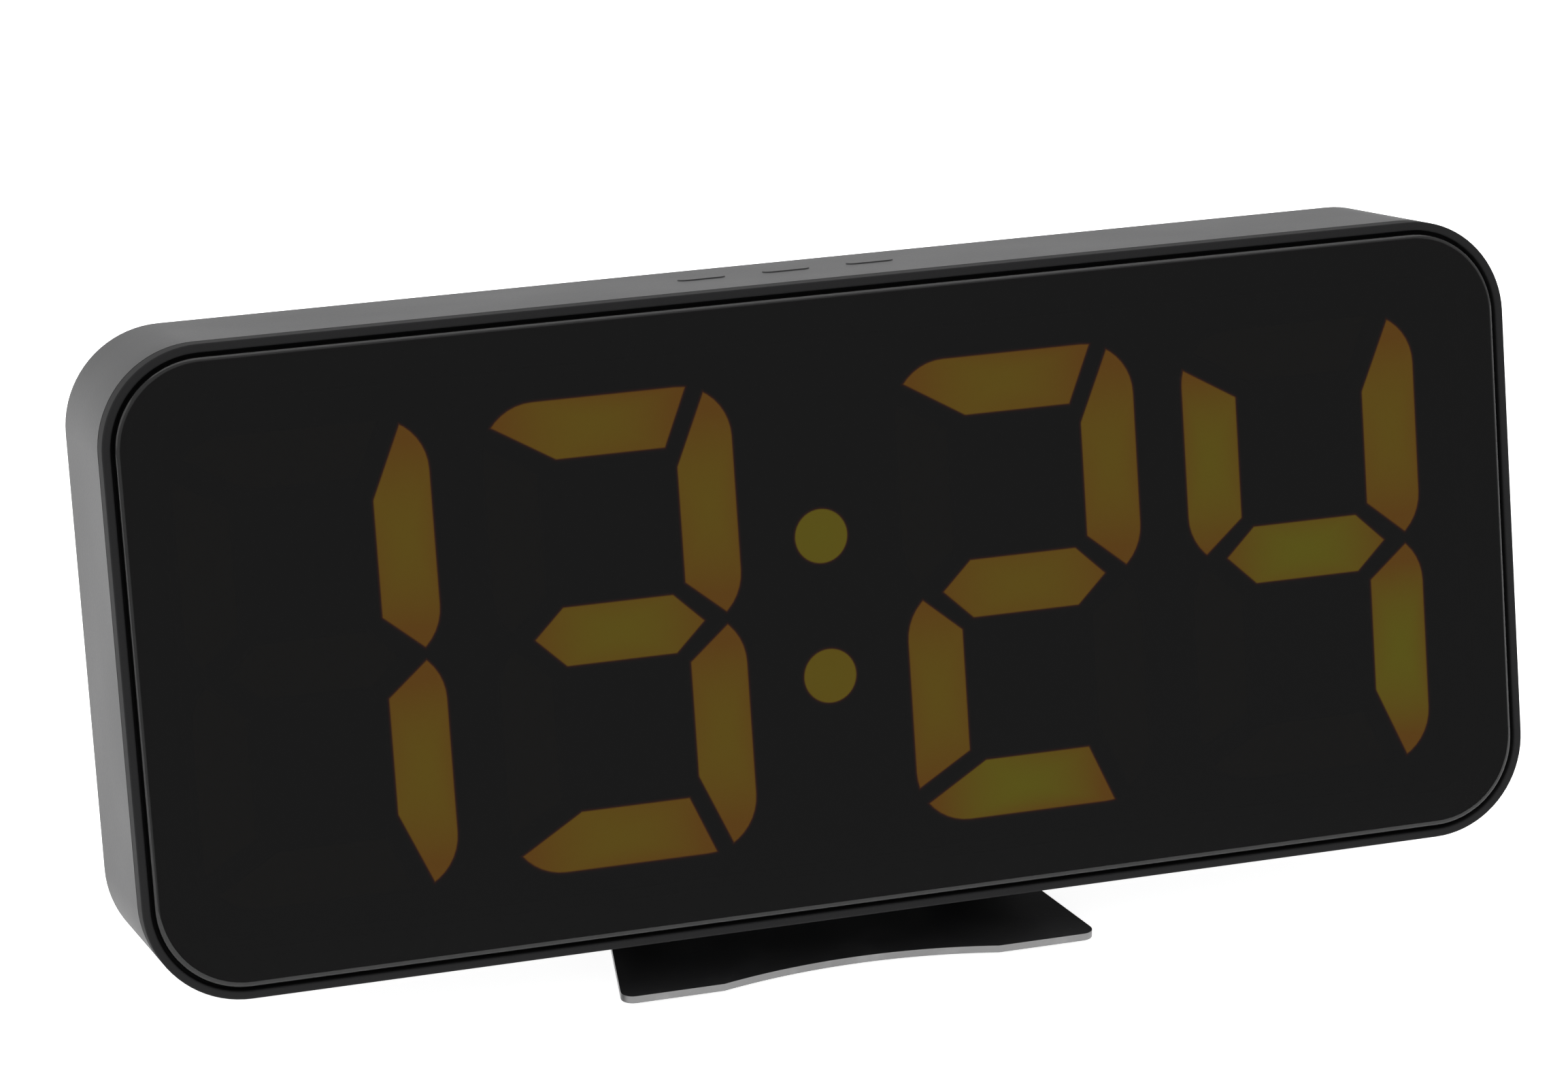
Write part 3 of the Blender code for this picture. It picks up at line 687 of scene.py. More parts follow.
@dataclass(frozen=True)
class SoftRubber(Finish):
    """Matt rubber or foam with a fine open surface."""

    def dress(self, sheet: Sheet) -> None:
        """Pores in the normal and dusty tops."""
        pores = sheet.noise(0.2 * MM, 3.0)
        dust = sheet.noise(4 * MM, 3.0).between(0.4, 0.8)
        sheet.set(Base_Color=sheet.mix(dust * 0.5, self.base, self.shade(1.8)), Roughness=0.82 + pores * 0.12,
                  Normal=sheet.bump(pores, 0.03 * MM))


@dataclass(frozen=True)
class BoardLacquer(Finish):
    """Solder resist with copper tracks faintly raised under it."""

    def dress(self, sheet: Sheet) -> None:
        """Tracks as bands that a noise bends, under a glossy lacquer."""
        settings = {"wave_type": "BANDS", "bands_direction": "X"}
        sockets = {"Vector": sheet.place(), "Scale": 90.0, "Distortion": 6.0, "Detail": 0.0}
        tracks = sheet.node("ShaderNodeTexWave", settings, sockets, output="Fac").between(0.62, 0.7)
        cloud = sheet.noise(8 * MM)
        colour = sheet.mix(tracks * 0.7 + cloud * 0.15, self.base, self.shade(1.9))
        sheet.set(Base_Color=colour, Roughness=0.32 + cloud * 0.1, Normal=sheet.bump(tracks, 0.03 * MM))


@dataclass(frozen=True)
class SatinPaper(Finish):
    """Blank printed film, ribbon or milky moulding with a soft even surface."""

    def dress(self, sheet: Sheet) -> None:
        """Fibre in the colour and a little in the normal."""
        fibre = sheet.noise(0.5 * MM, 4.0, stretch=(3.0, 1.0, 1.0))
        colour = sheet.mix(fibre, self.shade(0.9), self.shade(1.08))
        sheet.set(Base_Color=colour, Roughness=0.45 + fibre * 0.12, Normal=sheet.bump(fibre, 0.006 * MM))


SHELL = GrainedPlastic("dark grey spark grain", (0.027, 0.027, 0.028), sheen=0.2)
RIM = GrainedPlastic("satin black grain", (0.017, 0.017, 0.0175), roughness=0.75, grain=0.22 * MM,
                     relief=0.012 * MM, speckle=0.25, sheen=0.08)
DOOR = GrainedPlastic("door grey spark grain", (0.025, 0.025, 0.026), grain=0.26 * MM, sheen=0.2)
CAP = GrainedPlastic("button satin grey", (0.045, 0.045, 0.047), roughness=0.42, grain=0.18 * MM,
                     relief=0.01 * MM)
MASK = GrainedPlastic("dull black", (0.006, 0.006, 0.006), roughness=0.75, sheen=0.1)
SOCKET = GrainedPlastic("component black", (0.018, 0.018, 0.02), roughness=0.38, grain=0.15 * MM,
                        relief=0.008 * MM)
LENS = SmokedAcrylic("smoked acrylic", (0.002, 0.002, 0.002))
GLOW = LitGuide("lit amber", (0.01, 0.008, 0.004))
PAINT = PaintedSheet("black baked paint", (0.022, 0.022, 0.023))
STEEL = PlatedMetal("plated steel", (0.55, 0.55, 0.57))
COPPER = PlatedMetal("copper foil", (0.8, 0.42, 0.25))
RUBBER = SoftRubber("pad rubber", (0.022, 0.022, 0.022))
TAPE = SoftRubber("foam tape", (0.012, 0.012, 0.012))
BOARD = BoardLacquer("green resist", (0.02, 0.14, 0.05))
LABEL = SatinPaper("blank label", (0.3, 0.3, 0.31))
RIBBON = SatinPaper("ribbon white", (0.7, 0.7, 0.67))
GUIDE = SatinPaper("milky amber", (0.3, 0.19, 0.03))


def finish_piece(piece: bpy.types.Object, finish: Finish, body: str,
                 replaced: Iterable[str] = ()) -> None:
    """Dresses a finished piece and says what it rides on and stands for.

    Args:
        piece: The piece, its object at the origin.
        finish: Its finish.
        body: The body that it rides on.
        replaced: CAD nodes that it stands for.
    """
    piece.data.materials.clear()
    piece.data.materials.append(finish.material())
    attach(piece, body)
    for node in replaced:
        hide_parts(node)
    LOG.info("%s: %d faces, rides on %s", piece.name, len(piece.data.polygons), body)


def finish_twin(name: str, node: bpy.types.Object, width: float, finish: Finish,
                body: str) -> None:
    """Makes a finer twin of a CAD node, with a bevel of a width on its sharp edges, and dresses it."""
    finish_piece(Bench.traced(name, node, width), finish, body, [node.name])


# ---- case -----------------------------------------------------------------------------------------


@dataclass
class BackShell:
    """Grey tub behind the frame, with every opening of its back wall."""

    case: CaseFrame
    wall: float = 2.0 * MM
    corner: float = 13.0 * MM
    back_edge: float = 0.86 * MM
    edge: float = 0.14 * MM
    corner_faces: int = 20
    button_gap: float = 0.3 * MM
    button_corner: float = 2.4 * MM
    inlet_gap: float = 0.35 * MM
    door_recess: Tuple[float, float] = (2.6 * MM, 1.5 * MM)
    label_recess: Tuple[float, float] = (1.3 * MM, 0.6 * MM)
    screw_well: float = 2.6 * MM
    screw_well_depth: float = 2.2 * MM
    pocket: Tuple[float, float, float] = (14.0 * MM, 1.2 * MM, 6.0 * MM)
    knob_slot: Tuple[float, float] = (7.6 * MM, 3.0 * MM)
    knob_travel: float = 4.0 * MM
    sound_hole: float = 0.9 * MM
    sound_ring: float = 4.0 * MM
    lug_radius: float = 2.0 * MM
    lug_span: Tuple[float, float] = (20.3 * MM, 23.2 * MM)
    pin_bore: float = 1.3 * MM
    pin_reach: float = 60 * MM
    cutter_reach: float = 3 * MM
    mark_size: Tuple[float, float, float] = (6.4 * MM, 2.4 * MM, 0.15 * MM)
    mark_pitch: float = 11.5 * MM
    mark_depth: float = 17.0 * MM

    def build(self) -> None:
        """Models the shell and dresses it."""
        node = self.case.extent("housing")
        self.back = self.case.extent("rating_label").high.y
        self.front = node.low.y
        self.top = node.high.z
        side = node.high.x
        box = Extent(Vector((-side, self.front, -self.top)), Vector((side, self.back, self.top)))
        shell = Bench.slab("back_shell", box, self.corner, self.corner_faces)
        Bench.pick(shell, "edges", Bench.rim_of(Way.DEEP.value, self.back))
        Bench.bevel(self.back_edge, 4)
        Bench.done()
        Bench.pick(shell, "faces", Bench.facing(-Way.DEEP.value, -self.front))
        Bench.inset(self.wall)
        Bench.extrude(Vector((0.0, self.back - self.front - self.wall, 0.0)))
        Bench.done()
        Bench.carve(shell, *self.lugs(), join=True)
        Bench.carve(shell, *self.openings())
        Bench.soften(shell, self.edge)
        self.case.lean(shell)
        finish_piece(shell, SHELL, Body.CLOCK.value, ["housing"])
        self.build_marks()

    def opening(self, name: str, box: Extent, radius: float, depth: float) -> bpy.types.Object:
        """Cutter through the back wall, as wide as a box and as deep as asked."""
        low = Vector((box.low.x, self.back - depth, box.low.z))
        high = Vector((box.high.x, self.back + self.cutter_reach, box.high.z))
        return Bench.slab(name, Extent(low, high), radius, 5)

    def around(self, x: float, z: float, width: float, height: float) -> Extent:
        """Box of a size about a place on the back wall."""
        half = Vector((width / 2, 0.0, height / 2))
        middle = Vector((x, self.back, z))
        return Extent(middle - half, middle + half)

    def bore(self, x: float, z: float, radius: float, depth: float, sides: int = 40) -> bpy.types.Object:
        """Round cutter into the back wall."""
        middle = Vector((x, self.back + (self.cutter_reach - depth) / 2, z))
        return Bench.drum("bore", middle, radius, depth + self.cutter_reach, Way.DEEP, sides)

    def openings(self) -> List[bpy.types.Object]:
        """Cutters for everything that opens through or into the back wall."""
        outer = self.back - 0.1 * MM
        through = self.wall + 1 * MM
        gap = Vector((self.button_gap, 0.0, self.button_gap))
        cutters = []
        for name in BUTTONS:
            button = self.case.extent(f"{name}_button", outer).grown(gap)
            cutters.append(self.opening(name, button, self.button_corner, through))
        inlet = self.case.extent("power_inlet", outer)
        cutters.append(self.bore(inlet.centre.x, inlet.centre.z, inlet.size.x / 2 + self.inlet_gap, through))
        door = self.case.extent("battery_door", outer)
        cutters.append(self.opening("door", door.grown(gap), *self.door_recess))
        label = self.case.extent("rating_label")
        cutters.append(self.opening("label", label.grown(gap), *self.label_recess))
        knob = self.case.extent("slide_knob", outer).centre
        middle = knob.x + self.knob_travel / 2
        width, depth, height = self.pocket
        cutters.append(self.opening("pocket", self.around(middle, knob.z, width, height), 1.5 * MM, depth))
        cutters.append(self.opening("slot", self.around(middle, knob.z, *self.knob_slot), 0.5 * MM, through))
        sounder = self.case.extent("buzzer").centre
        spots = [(0.0, 0.0)]
        spots += [(self.sound_ring * math.cos(turn), self.sound_ring * math.sin(turn))
                  for turn in (math.radians(60 * step) for step in range(6))]
        for x, z in spots:
            cutters.append(self.bore(sounder.x + x, sounder.z + z, self.sound_hole, through, 20))
        for number in range(1, 5):
            screw = self.case.extent(f"case_screw_{number}").centre
            cutters.append(self.bore(screw.x, screw.z, self.screw_well, self.screw_well_depth - 0.3 * MM))
        axis = self.case.place(self.case.joints["foot_fold"]["pos_m"])
        middle = Vector((0.0, axis.y, axis.z))
        cutters.append(Bench.drum("pin_bore", middle, self.pin_bore, self.pin_reach, Way.ACROSS))
        return cutters

    def lugs(self) -> List[bpy.types.Object]:
        """The two hinge lugs at the foot of the back wall."""
        axis = self.case.place(self.case.joints["foot_fold"]["pos_m"])
        near, far = self.lug_span
        made = []
        for side in (-1, 1):
            low, high = sorted((side * near, side * far))
            middle = Vector(((low + high) / 2, axis.y, axis.z))
            made.append(Bench.drum("lug", middle, self.lug_radius, far - near, Way.ACROSS))
            reach = 0.97 * self.lug_radius
            web = Extent(Vector((low + 0.02 * MM, self.back - 1 * MM, axis.z - reach)),
                         Vector((high - 0.02 * MM, axis.y + 0.1 * MM, axis.z + reach)))
            made.append(Bench.cube("web", web))
        return made

    def build_marks(self) -> None:
        """Three low raised pills on top of the case, over the touch plate, for the finger to find."""
        length, width, height = self.mark_size
        for number, place in enumerate((-1, 0, 1), 1):
            middle = Vector((place * self.mark_pitch, self.mark_depth, self.top))
            half = Vector((length / 2, width / 2, height))
            box = Extent(middle - half, middle + half)
            mark = Bench.slab(f"touch_mark_{number}", box, 0.98 * width / 2, 8, Way.UP)
            Bench.pick(mark, "edges", Bench.rim_of(Way.UP.value, middle.z + height))
            Bench.bevel(0.8 * height, 3)
            Bench.done()
            Bench.smooth(mark)
            self.case.lean(mark)
            finish_piece(mark, SHELL, Body.CLOCK.value)


@dataclass
class FrontFrame:
    """Thin black rim round the lens, with the shelf behind it and the tongue inside the shell."""

    case: CaseFrame
    corner: float = 13.0 * MM
    face: float = 1.1 * MM
    lip: float = 1.9 * MM
    shelf: float = 1.0 * MM
    shelf_inset: float = 7.2 * MM
    edge: float = 0.25 * MM
    tongue_inset: float = 2.3 * MM
    tongue: Tuple[float, float] = (1.5 * MM, 3.0 * MM)
    corner_faces: int = 20

    def build(self) -> None:
        """Models the frame from one slab and dresses it."""
        node = self.case.extent("front_frame")
        front = node.low.y
        back = front + self.lip + self.shelf
        half = Vector((node.high.x, 0.0, node.high.z))
        box = Extent(Vector((-half.x, front, -half.z)), Vector((half.x, back, half.z)))
        frame = Bench.slab("front_rim", box, self.corner, self.corner_faces)
        LOG.info("front rim: %d edges bridged", self.hollow(frame, front, back))
        Bench.pick(frame, "edges", Bench.rim_of(-Way.DEEP.value, -front))
        Bench.bevel(self.edge, 3)
        Bench.done()
        Bench.smooth(frame)
        self.case.lean(frame)
        finish_piece(frame, RIM, Body.CLOCK.value, ["front_frame"])

    def hollow(self, frame: bpy.types.Object, front: float, back: float) -> int:
        """Sinks the lens seat in front, raises the tongue behind, and opens the window between them.

        Args:
            frame: The slab.
            front: Depth of its front face.
            back: Depth of its back face.

        Returns:
            The number of edges round the window.
        """
        deep = Way.DEEP.value
        thick, length = self.tongue
        Bench.pick(frame, "faces", Bench.facing(-deep, -front))
        Bench.inset(self.face)
        Bench.extrude(deep * self.lip)
        Bench.inset(self.shelf_inset - self.face)
        bpy.ops.mesh.delete(type="ONLY_FACE")
        Bench.done()
        Bench.pick(frame, "faces", Bench.facing(deep, back))
        Bench.inset(self.tongue_inset)
        Bench.extrude(deep * length)
        Bench.inset(thick)
        Bench.extrude(deep * -length)
        Bench.inset(self.shelf_inset - self.tongue_inset - thick)
        bpy.ops.mesh.delete(type="ONLY_FACE")
        Bench.done()
        count = Bench.pick(frame, "edges", lambda edge: edge.is_boundary)
        bpy.ops.mesh.bridge_edge_loops()
        Bench.done()
        return count


@dataclass
class Lens:
    """Smoked window that stands proud of the frame, its whole outline rounded over."""

    case: CaseFrame
    corner: float = 11.5 * MM
    round_over: float = 0.85 * MM
    corner_faces: int = 24

    def build(self) -> None:
        """Models the lens and dresses it."""
        box = self.case.extent("lens")
        lens = Bench.slab("smoked_lens", box, self.corner, self.corner_faces)
        Bench.pick(lens, "edges", Bench.rim_of(-Way.DEEP.value, -box.low.y))
        Bench.bevel(self.round_over, 8)
        Bench.done()
        Bench.smooth(lens)
        self.case.lean(lens)
        finish_piece(lens, LENS, Body.CLOCK.value, ["lens"])


# ---- display --------------------------------------------------------------------------------------


@dataclass(frozen=True)
class Bar:
    """One bar of a digit: a block, and the slanted lines that trim it.

    Each line runs through two points in millimetres from the digit's left edge and middle, and what lies
    to its left is kept.
    """

    low: Point
    high: Point
    cuts: Tuple[Tuple[Point, Point], ...]
    round_corners: bool = True

    def mirrored(self) -> "Bar":
        """The same bar turned over about the digit's middle."""
        cuts = tuple(((b[0], -b[1]), (a[0], -a[1])) for a, b in self.cuts)
        return Bar((self.low[0], -self.high[1]), (self.high[0], -self.low[1]), cuts, self.round_corners)


WIDTH, TOP, BASE = 32.8, 30.3, -1.0
A_CUTS = (((9.6, 22.8), (23.9, 22.8)), ((23.9, 22.8), (27.1, TOP)), ((1.5, 27.6), (9.6, 22.8)))
B_CUTS = (((25.4, 20.1), (25.4, 5.2)), ((29.4, 29.2), (25.4, 20.1)), ((25.4, 5.2), (30.5, 0.95)))
F_CUTS = (((7.4, 5.2), (7.4, 21.2)), ((7.4, 21.2), (0.4, 25.3)), ((2.35, 0.9), (7.4, 5.2)))
G_CUTS = (((5.2, 0.0), (9.1, -3.75)), ((23.6, -3.75), (27.5, 0.0)), ((27.5, 0.0), (23.6, 3.75)),
          ((9.1, 3.75), (5.2, 0.0)))
UPPER = {key: Bar((0.0, BASE), (WIDTH, TOP), cuts) for key, cuts in zip("abf", (A_CUTS, B_CUTS, F_CUTS))}
BARS = {
    **UPPER,
    "g": Bar((5.2, -3.75), (27.5, 3.75), G_CUTS, False),
    "d": UPPER["a"].mirrored(),
    "c": UPPER["b"].mirrored(),
    "e": UPPER["f"].mirrored(),
}
NUMERALS = {1: "bc", 2: "abdeg", 3: "abcdg", 4: "bcfg"}


@dataclass
class Display:
    """The bars and dots that are lit, as thin guides between the lens and the mask."""

    case: CaseFrame
    shown: Tuple[int, int, int, int] = (1, 3, 2, 4)
    names: Tuple[str, ...] = ("hours_tens", "hours_units", "minutes_tens", "minutes_units")
    corner: float = 7.0 * MM
    dot_radius: float = 3.5 * MM
    dot_rise: float = 9.15 * MM
    halo: float = 0.45 * MM
    fringe: float = 0.12 * MM
    lamp_reach: float = 12.0 * MM
    green_lamps: Dict[str, float] = field(default_factory=lambda: {
        "minutes_tens_d": 1.0, "minutes_units_c": 1.0, "minutes_units_g": 1.0, "minutes_units_f": 0.5,
        "hours_units_g": 0.4, "colon_upper": 0.8, "colon_lower": 0.4,
    })
    layer: Tuple[float, float] = (1.74 * MM, 1.94 * MM)
    plate_border: float = 0.4 * MM

    def build(self) -> None:
        """Models each digit and the colon and dresses them."""
        for number, (numeral, name) in enumerate(zip(self.shown, self.names), 1):
            plate = self.case.extent(f"digit_guide_{number}")
            origin = Vector((plate.low.x + self.plate_border, 0.0, plate.centre.z))
            bars = [self.bar(f"{name}_{key}", BARS[key], origin) for key in NUMERALS[numeral]]
            self.release(f"{name}_glow", bars)
        middle = self.case.extent("colon_guide").centre
        self.release("colon_glow", [self.dot("colon_upper", middle.x, middle.z + self.dot_rise),
                                    self.dot("colon_lower", middle.x, middle.z - self.dot_rise)])

    @property
    def steps(self) -> Tuple[float, float, float]:
        """How far outside its own outline each nested outline of a bar lies."""
        return (self.halo, self.fringe, -self.fringe)

    def bar(self, name: str, bar: Bar, origin: Vector) -> bpy.types.Object:
        """One lit bar.

        Args:
            name: Name of the piece.
            bar: Its shape.
            origin: Left edge and middle of its digit in the case frame.

        Returns:
            The bar, with its glow painted on.
        """
        return self.nest(name, [self.outline(bar, origin, step) for step in self.steps])

    def outline(self, bar: Bar, origin: Vector, step: float) -> bpy.types.Object:
        """The outline of a bar moved outwards, as a slab that slanted cuts have trimmed."""
        spread = Vector((step, 0.0, step))
        low = Vector((bar.low[0] * MM, self.layer[0], bar.low[1] * MM)) + origin - spread
        high = Vector((bar.high[0] * MM, self.layer[1], bar.high[1] * MM)) + origin + spread
        box = Extent(low, high)
        if bar.round_corners:
            piece = Bench.slab("outline", box, self.corner + step, 10)
        else:
            piece = Bench.cube("outline", box)
        for start, end in bar.cuts:
            along = Vector((end[0] - start[0], 0.0, end[1] - start[1])).normalized()
            outward = Vector((along.z, 0.0, -along.x))
            through = Vector((start[0] * MM, 0.0, start[1] * MM)) + origin + outward * step
            Bench.focus(piece)
            bpy.ops.object.mode_set(mode="EDIT")
            bpy.ops.mesh.select_all(action="SELECT")
            bpy.ops.mesh.bisect(plane_co=through, plane_no=outward, use_fill=True, clear_outer=True,
                                threshold=TINY / 10)
            Bench.done()
        return piece

    def dot(self, name: str, x: float, z: float) -> bpy.types.Object:
        """One lit dot of the colon."""
        middle = Vector((x, sum(self.layer) / 2, z))
        thick = self.layer[1] - self.layer[0]
        drums = [Bench.drum("outline", middle, self.dot_radius + step, thick, Way.DEEP, 40)
                 for step in self.steps]
        return self.nest(name, drums)

    def nest(self, name: str, slabs: List[bpy.types.Object]) -> bpy.types.Object:
        """Makes one bar out of nested slabs and paints its glow.

        Only the front outlines of the slabs are kept. The rings between them and the heart are filled, and
        the whole is given its thickness again.

        Args:
            name: Name of the bar.
            slabs: Its outline moved outwards by each of the steps.

        Returns:
            The bar.
        """
        loops = [self.front_outline(slab) for slab in slabs]
        piece = Bench.join(name, slabs)
        ends = list(accumulate(map(len, loops), initial=0))
        runs = list(zip(ends, ends[1:]))
        for pair in zip(runs, runs[1:]):
            Bench.pick(piece, "edges", partial(self.lies_in, runs=pair))
            bpy.ops.mesh.fill(use_beauty=True)
            Bench.done()
        Bench.pick(piece, "edges", partial(self.lies_in, runs=runs[-1:]))
        bpy.ops.mesh.edge_face_add()
        bpy.ops.mesh.poke()
        bpy.ops.mesh.select_all(action="SELECT")
        Bench.extrude(Vector((0.0, self.layer[1] - self.layer[0], 0.0)))
        bpy.ops.mesh.select_all(action="SELECT")
        bpy.ops.mesh.normals_make_consistent(inside=False)
        Bench.done()
        self.paint(piece, loops, self.green_lamps.get(name, 0.0))
        return piece

    def front_outline(self, slab: bpy.types.Object) -> List[Vector]:
        """Strips a slab down to the outline of its front and returns that outline's corners."""
        Bench.pick(slab, "faces", Bench.facing(-Way.DEEP.value, -self.layer[0]))
        bpy.ops.mesh.select_all(action="INVERT")
        bpy.ops.mesh.delete(type="FACE")
        bpy.ops.mesh.select_all(action="SELECT")
        bpy.ops.mesh.delete(type="ONLY_FACE")
        Bench.done()
        return [vert.co.copy() for vert in slab.data.vertices]

    @staticmethod
    def lies_in(edge: bmesh.types.BMEdge, runs: Sequence[Tuple[int, int]]) -> bool:
        """Whether both ends of an edge are numbered within the same run of vertices."""
        return any(all(first <= vert.index < end for vert in edge.verts) for first, end in runs)

    def paint(self, piece: bpy.types.Object, loops: List[List[Vector]], hue: float) -> None:
        """Writes the glow values: level grows in from the outline, reach grows from the lamp to the ends.

        Args:
            piece: The bar.
            loops: Its nested outlines, the outer one first.
            hue: How much greener than the others its lamp is.
        """
        mesh = piece.data
        low = Vector(min(corner[axis] for corner in loops[-1]) for axis in range(3))
        high = Vector(max(corner[axis] for corner in loops[-1]) for axis in range(3))
        heart = (low + high) / 2
        rims = list(zip(loops, (0.0, 0.25, 1.0)))
        level = mesh.attributes.new("level", "FLOAT", "POINT")
        reach = mesh.attributes.new("reach", "FLOAT", "POINT")
        bins = mesh.attributes.new("bin", "FLOAT", "POINT")
        for vert in mesh.vertices:
            known = [value for loop, value in rims
                     if any((vert.co - corner).length < TINY for corner in loop)]
            level.data[vert.index].value = known[0] if known else float(vert.co.y < self.layer[0] + TINY)
            reach.data[vert.index].value = (vert.co - heart).length / self.lamp_reach
            bins.data[vert.index].value = hue

    def release(self, name: str, bars: List[bpy.types.Object]) -> None:
        """Joins the bars of one digit into one piece and dresses it."""
        piece = Bench.join(name, bars)
        self.case.lean(piece)
        finish_piece(piece, GLOW, Body.CLOCK.value)


# ---- back and foot --------------------------------------------------------------------------------


@dataclass
class BackParts:
    """Buttons, door, socket, screws and label: finer twins of their CAD nodes."""

    case: CaseFrame

    def build(self) -> None:
        """Traces each node and dresses the twin."""
        for name in BUTTONS:
            self.add(f"{name}_cap", f"{name}_button", 0.12 * MM, CAP, Slot.BUTTON, f"{name}_button")
        self.add("alarm_knob", "slide_knob", 0.15 * MM, CAP, Slot.BUTTON, Body.KNOB.value)
        self.add("cell_door", "battery_door", 0.12 * MM, DOOR, Slot.SHELL, Body.DOOR.value)
        self.add("socket", "power_inlet", 0.15 * MM, SOCKET, Slot.COMPONENT)
        self.add("blank_label", "rating_label", 0.05 * MM, LABEL, Slot.LABEL)
        for number in range(1, 5):
            self.add(f"back_screw_{number}", f"case_screw_{number}", 0.1 * MM, STEEL, Slot.TIN)

    def add(self, name: str, node: str, width: float, finish: Finish, slot: Slot,
            body: str = Body.CLOCK.value) -> None:
        """Makes one twin of a node."""
        finish_twin(name, self.case.nodes[node], width, finish, body)


@dataclass
class Foot:
    """Bent sheet foot with its ears, pins, clips and pads."""

    case: CaseFrame
    taper: float = 0.19
    front_corner: float = 2.0 * MM
    rear_corner: float = 3.0 * MM
    thickness: float = 1.0 * MM
    recess_half_width: float = 18.9 * MM
    recess_depth: float = 2.5 * MM
    ear_span: Tuple[float, float] = (23.5 * MM, 24.5 * MM)
    ear_radius: float = 2.0 * MM
    bore: float = 1.3 * MM
    bore_reach: float = 60 * MM
    edge: float = 0.1 * MM

    def build(self) -> None:
        """Models the sheet and dresses everything on the foot."""
        low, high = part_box("foot_plate")
        axis = Vector(self.case.joints["foot_fold"]["pos_m"])
        top = low.z + self.thickness
        sheet = Bench.cube("foot_sheet", Extent(low, Vector((high.x, high.y, top))))
        self.narrow_rear(sheet, low, high)
        self.round_corners(sheet, low, high)
        sweep = (self.recess_half_width ** 2 + self.recess_depth ** 2) / (2 * self.recess_depth)
        middle = Vector((0.0, low.y + self.recess_depth - sweep, top))
        Bench.carve(sheet, Bench.drum("recess", middle, sweep, 10 * self.thickness, Way.UP, 360))
        Bench.carve(sheet, *self.ears(axis, top), join=True)
        Bench.carve(sheet, Bench.drum("bore", axis, self.bore, self.bore_reach, Way.ACROSS, 32))
        Bench.soften(sheet, self.edge, 3)
        finish_piece(sheet, PAINT, Body.FOOT.value, ["foot_plate"])
        for side in ("left", "right"):
            self.add(f"pin_{side}", f"hinge_pin_{side}", 0.12 * MM, STEEL, Slot.TIN)
            self.add(f"clip_{side}", f"hinge_clip_{side}", 0.08 * MM, STEEL, Slot.TIN)
            for end in ("front", "rear"):
                self.add(f"pad_{end}_{side}", f"foot_pad_{end}_{side}", 0.1 * MM, RUBBER, Slot.RUBBER)

    def narrow_rear(self, sheet: bpy.types.Object, low: Vector, high: Vector) -> None:
        """Draws the rear corners of the sheet in, so that the foot is wider in front."""
        shift = self.taper * (high.y - low.y)
        for side in (-1, 1):
            Bench.pick(sheet, "edges", partial(self.is_corner, depth=high.y, side=side))
            bpy.ops.transform.translate(value=(-side * shift, 0.0, 0.0))
            Bench.done()

    def round_corners(self, sheet: bpy.types.Object, low: Vector, high: Vector) -> None:
        """Rounds the sheet's four corners, front and rear to their own radius."""
        for depth, radius in ((low.y, self.front_corner), (high.y, self.rear_corner)):
            for side in (-1, 1):
                Bench.pick(sheet, "edges", partial(self.is_corner, depth=depth, side=side))
                Bench.bevel(radius, 8)
                Bench.done()

    @staticmethod
    def is_corner(edge: bmesh.types.BMEdge, depth: float, side: int) -> bool:
        """Whether an upright edge stands at one corner of the sheet.

        Args:
            edge: The edge.
            depth: The corner's y.
            side: -1 for a corner on the left, 1 for one on the right.

        Returns:
            Whether it does.
        """
        return all(abs(vert.co.y - depth) < TINY and side * vert.co.x > 0 for vert in edge.verts)

    def ears(self, axis: Vector, top: float) -> List[bpy.types.Object]:
        """The two ears that carry the hinge pins."""
        made = []
        for side in (-1, 1):
            near, far = sorted(side * reach for reach in self.ear_span)
            middle = Vector(((near + far) / 2, axis.y, axis.z))
            made.append(Bench.drum("ear", middle, self.ear_radius, far - near, Way.ACROSS))
            web = Extent(Vector((near + 0.02 * MM, axis.y - 0.98 * self.ear_radius, top - 0.4 * MM)),
                         Vector((far - 0.02 * MM, axis.y + 0.98 * self.ear_radius, axis.z + 0.1 * MM)))
            made.append(Bench.cube("web", web))
        return made

    def add(self, name: str, node: str, width: float, finish: Finish, slot: Slot) -> None:
        """Makes one twin of a node that rides on the foot."""
        finish_twin(name, self.case.nodes[node], width, finish, Body.FOOT.value)


# ---- inside ---------------------------------------------------------------------------------------


@dataclass
class Inside:
    """Finishes of the CAD nodes that stay: what is shut in the case."""

    case: CaseFrame
    finishes: Dict[str, Finish] = field(default_factory=lambda: {
        "lens_tape": TAPE, "display_mask": MASK, "digit_guide": GUIDE, "colon_guide": GUIDE,
        "display_board": BOARD, "main_board": BOARD, "ribbon_cable": RIBBON, "crystal": STEEL,
        "coin_cell": STEEL, "touch": COPPER, "display_screw": STEEL, "board_screw": STEEL,
    })
    fallback: Finish = SOCKET

    def build(self) -> None:
        """Gives every node that still shows its finish."""
        for name, node in self.case.nodes.items():
            known = (finish for start, finish in self.finishes.items() if name.startswith(start))
            material = next(known, self.fallback).material()
            if not node.data.materials:
                node.data.materials.append(material)
            for place in range(len(node.data.materials)):
                node.material_slots[place].material = material


# ---- studio ---------------------------------------------------------------------------------------


@dataclass(frozen=True)
class Softbox:
    """One soft light."""

    name: str
    place: Tuple[float, float, float]
    aim: Tuple[float, float, float]
    size: Tuple[float, float]
    power: float


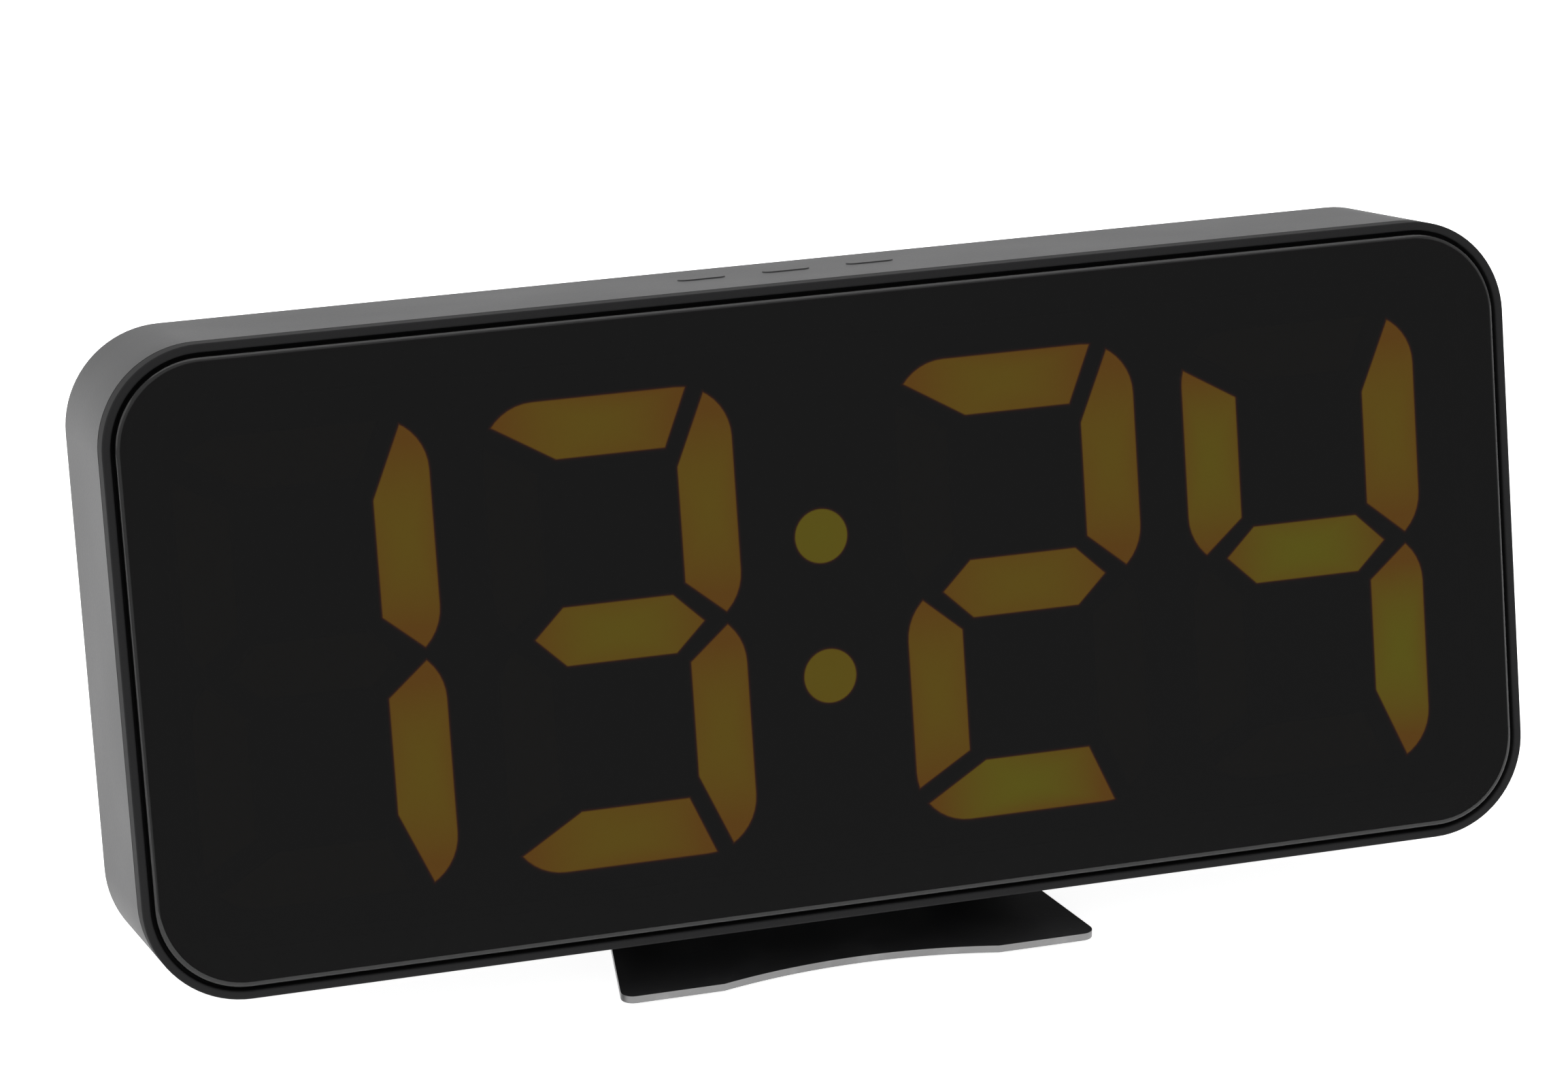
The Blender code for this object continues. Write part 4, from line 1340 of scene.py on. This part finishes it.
@dataclass
class Studio:
    """Pale floor, soft lights, an even surround and the camera."""

    floor_size: float = 2.4
    floor_centre: Tuple[float, float] = (0.2, 0.93)
    floor_glow: float = 0.9
    floor_tones: Tuple[float, float] = (0.8, 0.84)
    bright: float = 0.95
    dim: float = 0.26
    dim_toward: Tuple[float, float, float] = (0.28, -0.96, 0.05)
    dim_edge: Tuple[float, float] = (0.72, 0.9)
    lights: Sequence[Softbox] = (
        Softbox("overhead", (0.1, 0.25, 1.3), (0.0, 0.0, 0.05), (1.7, 1.3), 8.0),
        Softbox("left", (-1.3, -0.1, 0.55), (0.0, 0.0, 0.05), (1.0, 0.9), 2.5),
    )
    station: Tuple[float, float, float] = (-0.19454, -0.60031, 0.30294)
    heading: float = 17.62
    tilt: float = -21.641
    roll: float = 0.117
    focal: float = 119.15
    sensor: float = 36.0

    def build(self) -> None:
        """Makes the surroundings."""
        bpy.context.scene.view_settings.view_transform = "Standard"
        self.add_floor()
        self.add_world()
        for light in self.lights:
            self.add_light(light)
        self.add_camera()

    def add_floor(self) -> None:
        """Adds the floor, a pale sheet that shines a little so that shadows on it stay light."""
        Bench.clear()
        bpy.ops.mesh.primitive_plane_add(size=self.floor_size, location=(*self.floor_centre, 0.0))
        floor = bpy.context.object
        floor.name = "floor"
        sheet = Sheet("pale floor")
        dark, pale = ((tone,) * 3 for tone in self.floor_tones)
        sheet.set(Base_Color=sheet.mix(sheet.noise(0.3, 2.0), dark, pale), Roughness=0.9,
                  Emission_Color=(1.0, 1.0, 1.0), Emission_Strength=self.floor_glow, Specular_IOR_Level=0.1)
        floor.data.materials.append(sheet.material)

    def add_world(self) -> None:
        """Adds a pale surround, dim only in front, where the lens looks."""
        world = bpy.data.worlds.new("surround")
        bpy.context.scene.world = world
        world.use_nodes = True
        tree = world.node_tree
        where = tree.nodes.new("ShaderNodeTexCoord")
        facing = tree.nodes.new("ShaderNodeVectorMath")
        facing.operation = "DOT_PRODUCT"
        facing.inputs[1].default_value = self.dim_toward
        strength = tree.nodes.new("ShaderNodeMapRange")
        strength.interpolation_type = "SMOOTHSTEP"
        limits = zip(("From Min", "From Max", "To Min", "To Max"), (*self.dim_edge, self.bright, self.dim))
        for socket, value in limits:
            strength.inputs[socket].default_value = value
        background = tree.nodes["Background"]
        background.inputs["Color"].default_value = (1.0, 1.0, 1.0, 1.0)
        tree.links.new(where.outputs["Generated"], facing.inputs[0])
        tree.links.new(facing.outputs["Value"], strength.inputs["Value"])
        tree.links.new(strength.outputs["Result"], background.inputs["Strength"])

    @staticmethod
    def add_light(light: Softbox) -> None:
        """Adds one soft light, aimed at a point."""
        data = bpy.data.lights.new(light.name, "AREA")
        data.shape = "RECTANGLE"
        data.size, data.size_y = light.size
        data.energy = light.power
        lamp = bpy.data.objects.new(light.name, data)
        lamp.location = light.place
        lamp.rotation_euler = (Vector(light.aim) - Vector(light.place)).to_track_quat("-Z", "Y").to_euler()
        bpy.context.scene.collection.objects.link(lamp)

    def add_camera(self) -> None:
        """Adds the camera, a little left of the clock and above it."""
        data = bpy.data.cameras.new("camera")
        data.lens = self.focal
        data.sensor_width = self.sensor
        camera = bpy.data.objects.new("camera", data)
        heading = Matrix.Rotation(-math.radians(self.heading), 4, "Z")
        tilt = Matrix.Rotation(math.radians(90 + self.tilt), 4, "X")
        roll = Matrix.Rotation(math.radians(self.roll), 4, "Z")
        camera.matrix_world = Matrix.Translation(self.station) @ heading @ tilt @ roll
        bpy.context.scene.collection.objects.link(camera)
        bpy.context.scene.camera = camera


def main() -> None:
    """Builds the pieces, the studio and the camera in order."""
    logging.basicConfig(level=logging.INFO, format="%(message)s")
    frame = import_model()
    case = CaseFrame(frame)
    Studio().build()
    Inside(case).build()
    BackShell(case).build()
    FrontFrame(case).build()
    Lens(case).build()
    Display(case).build()
    BackParts(case).build()
    Foot(case).build()


if __name__ == "__main__":
    main()
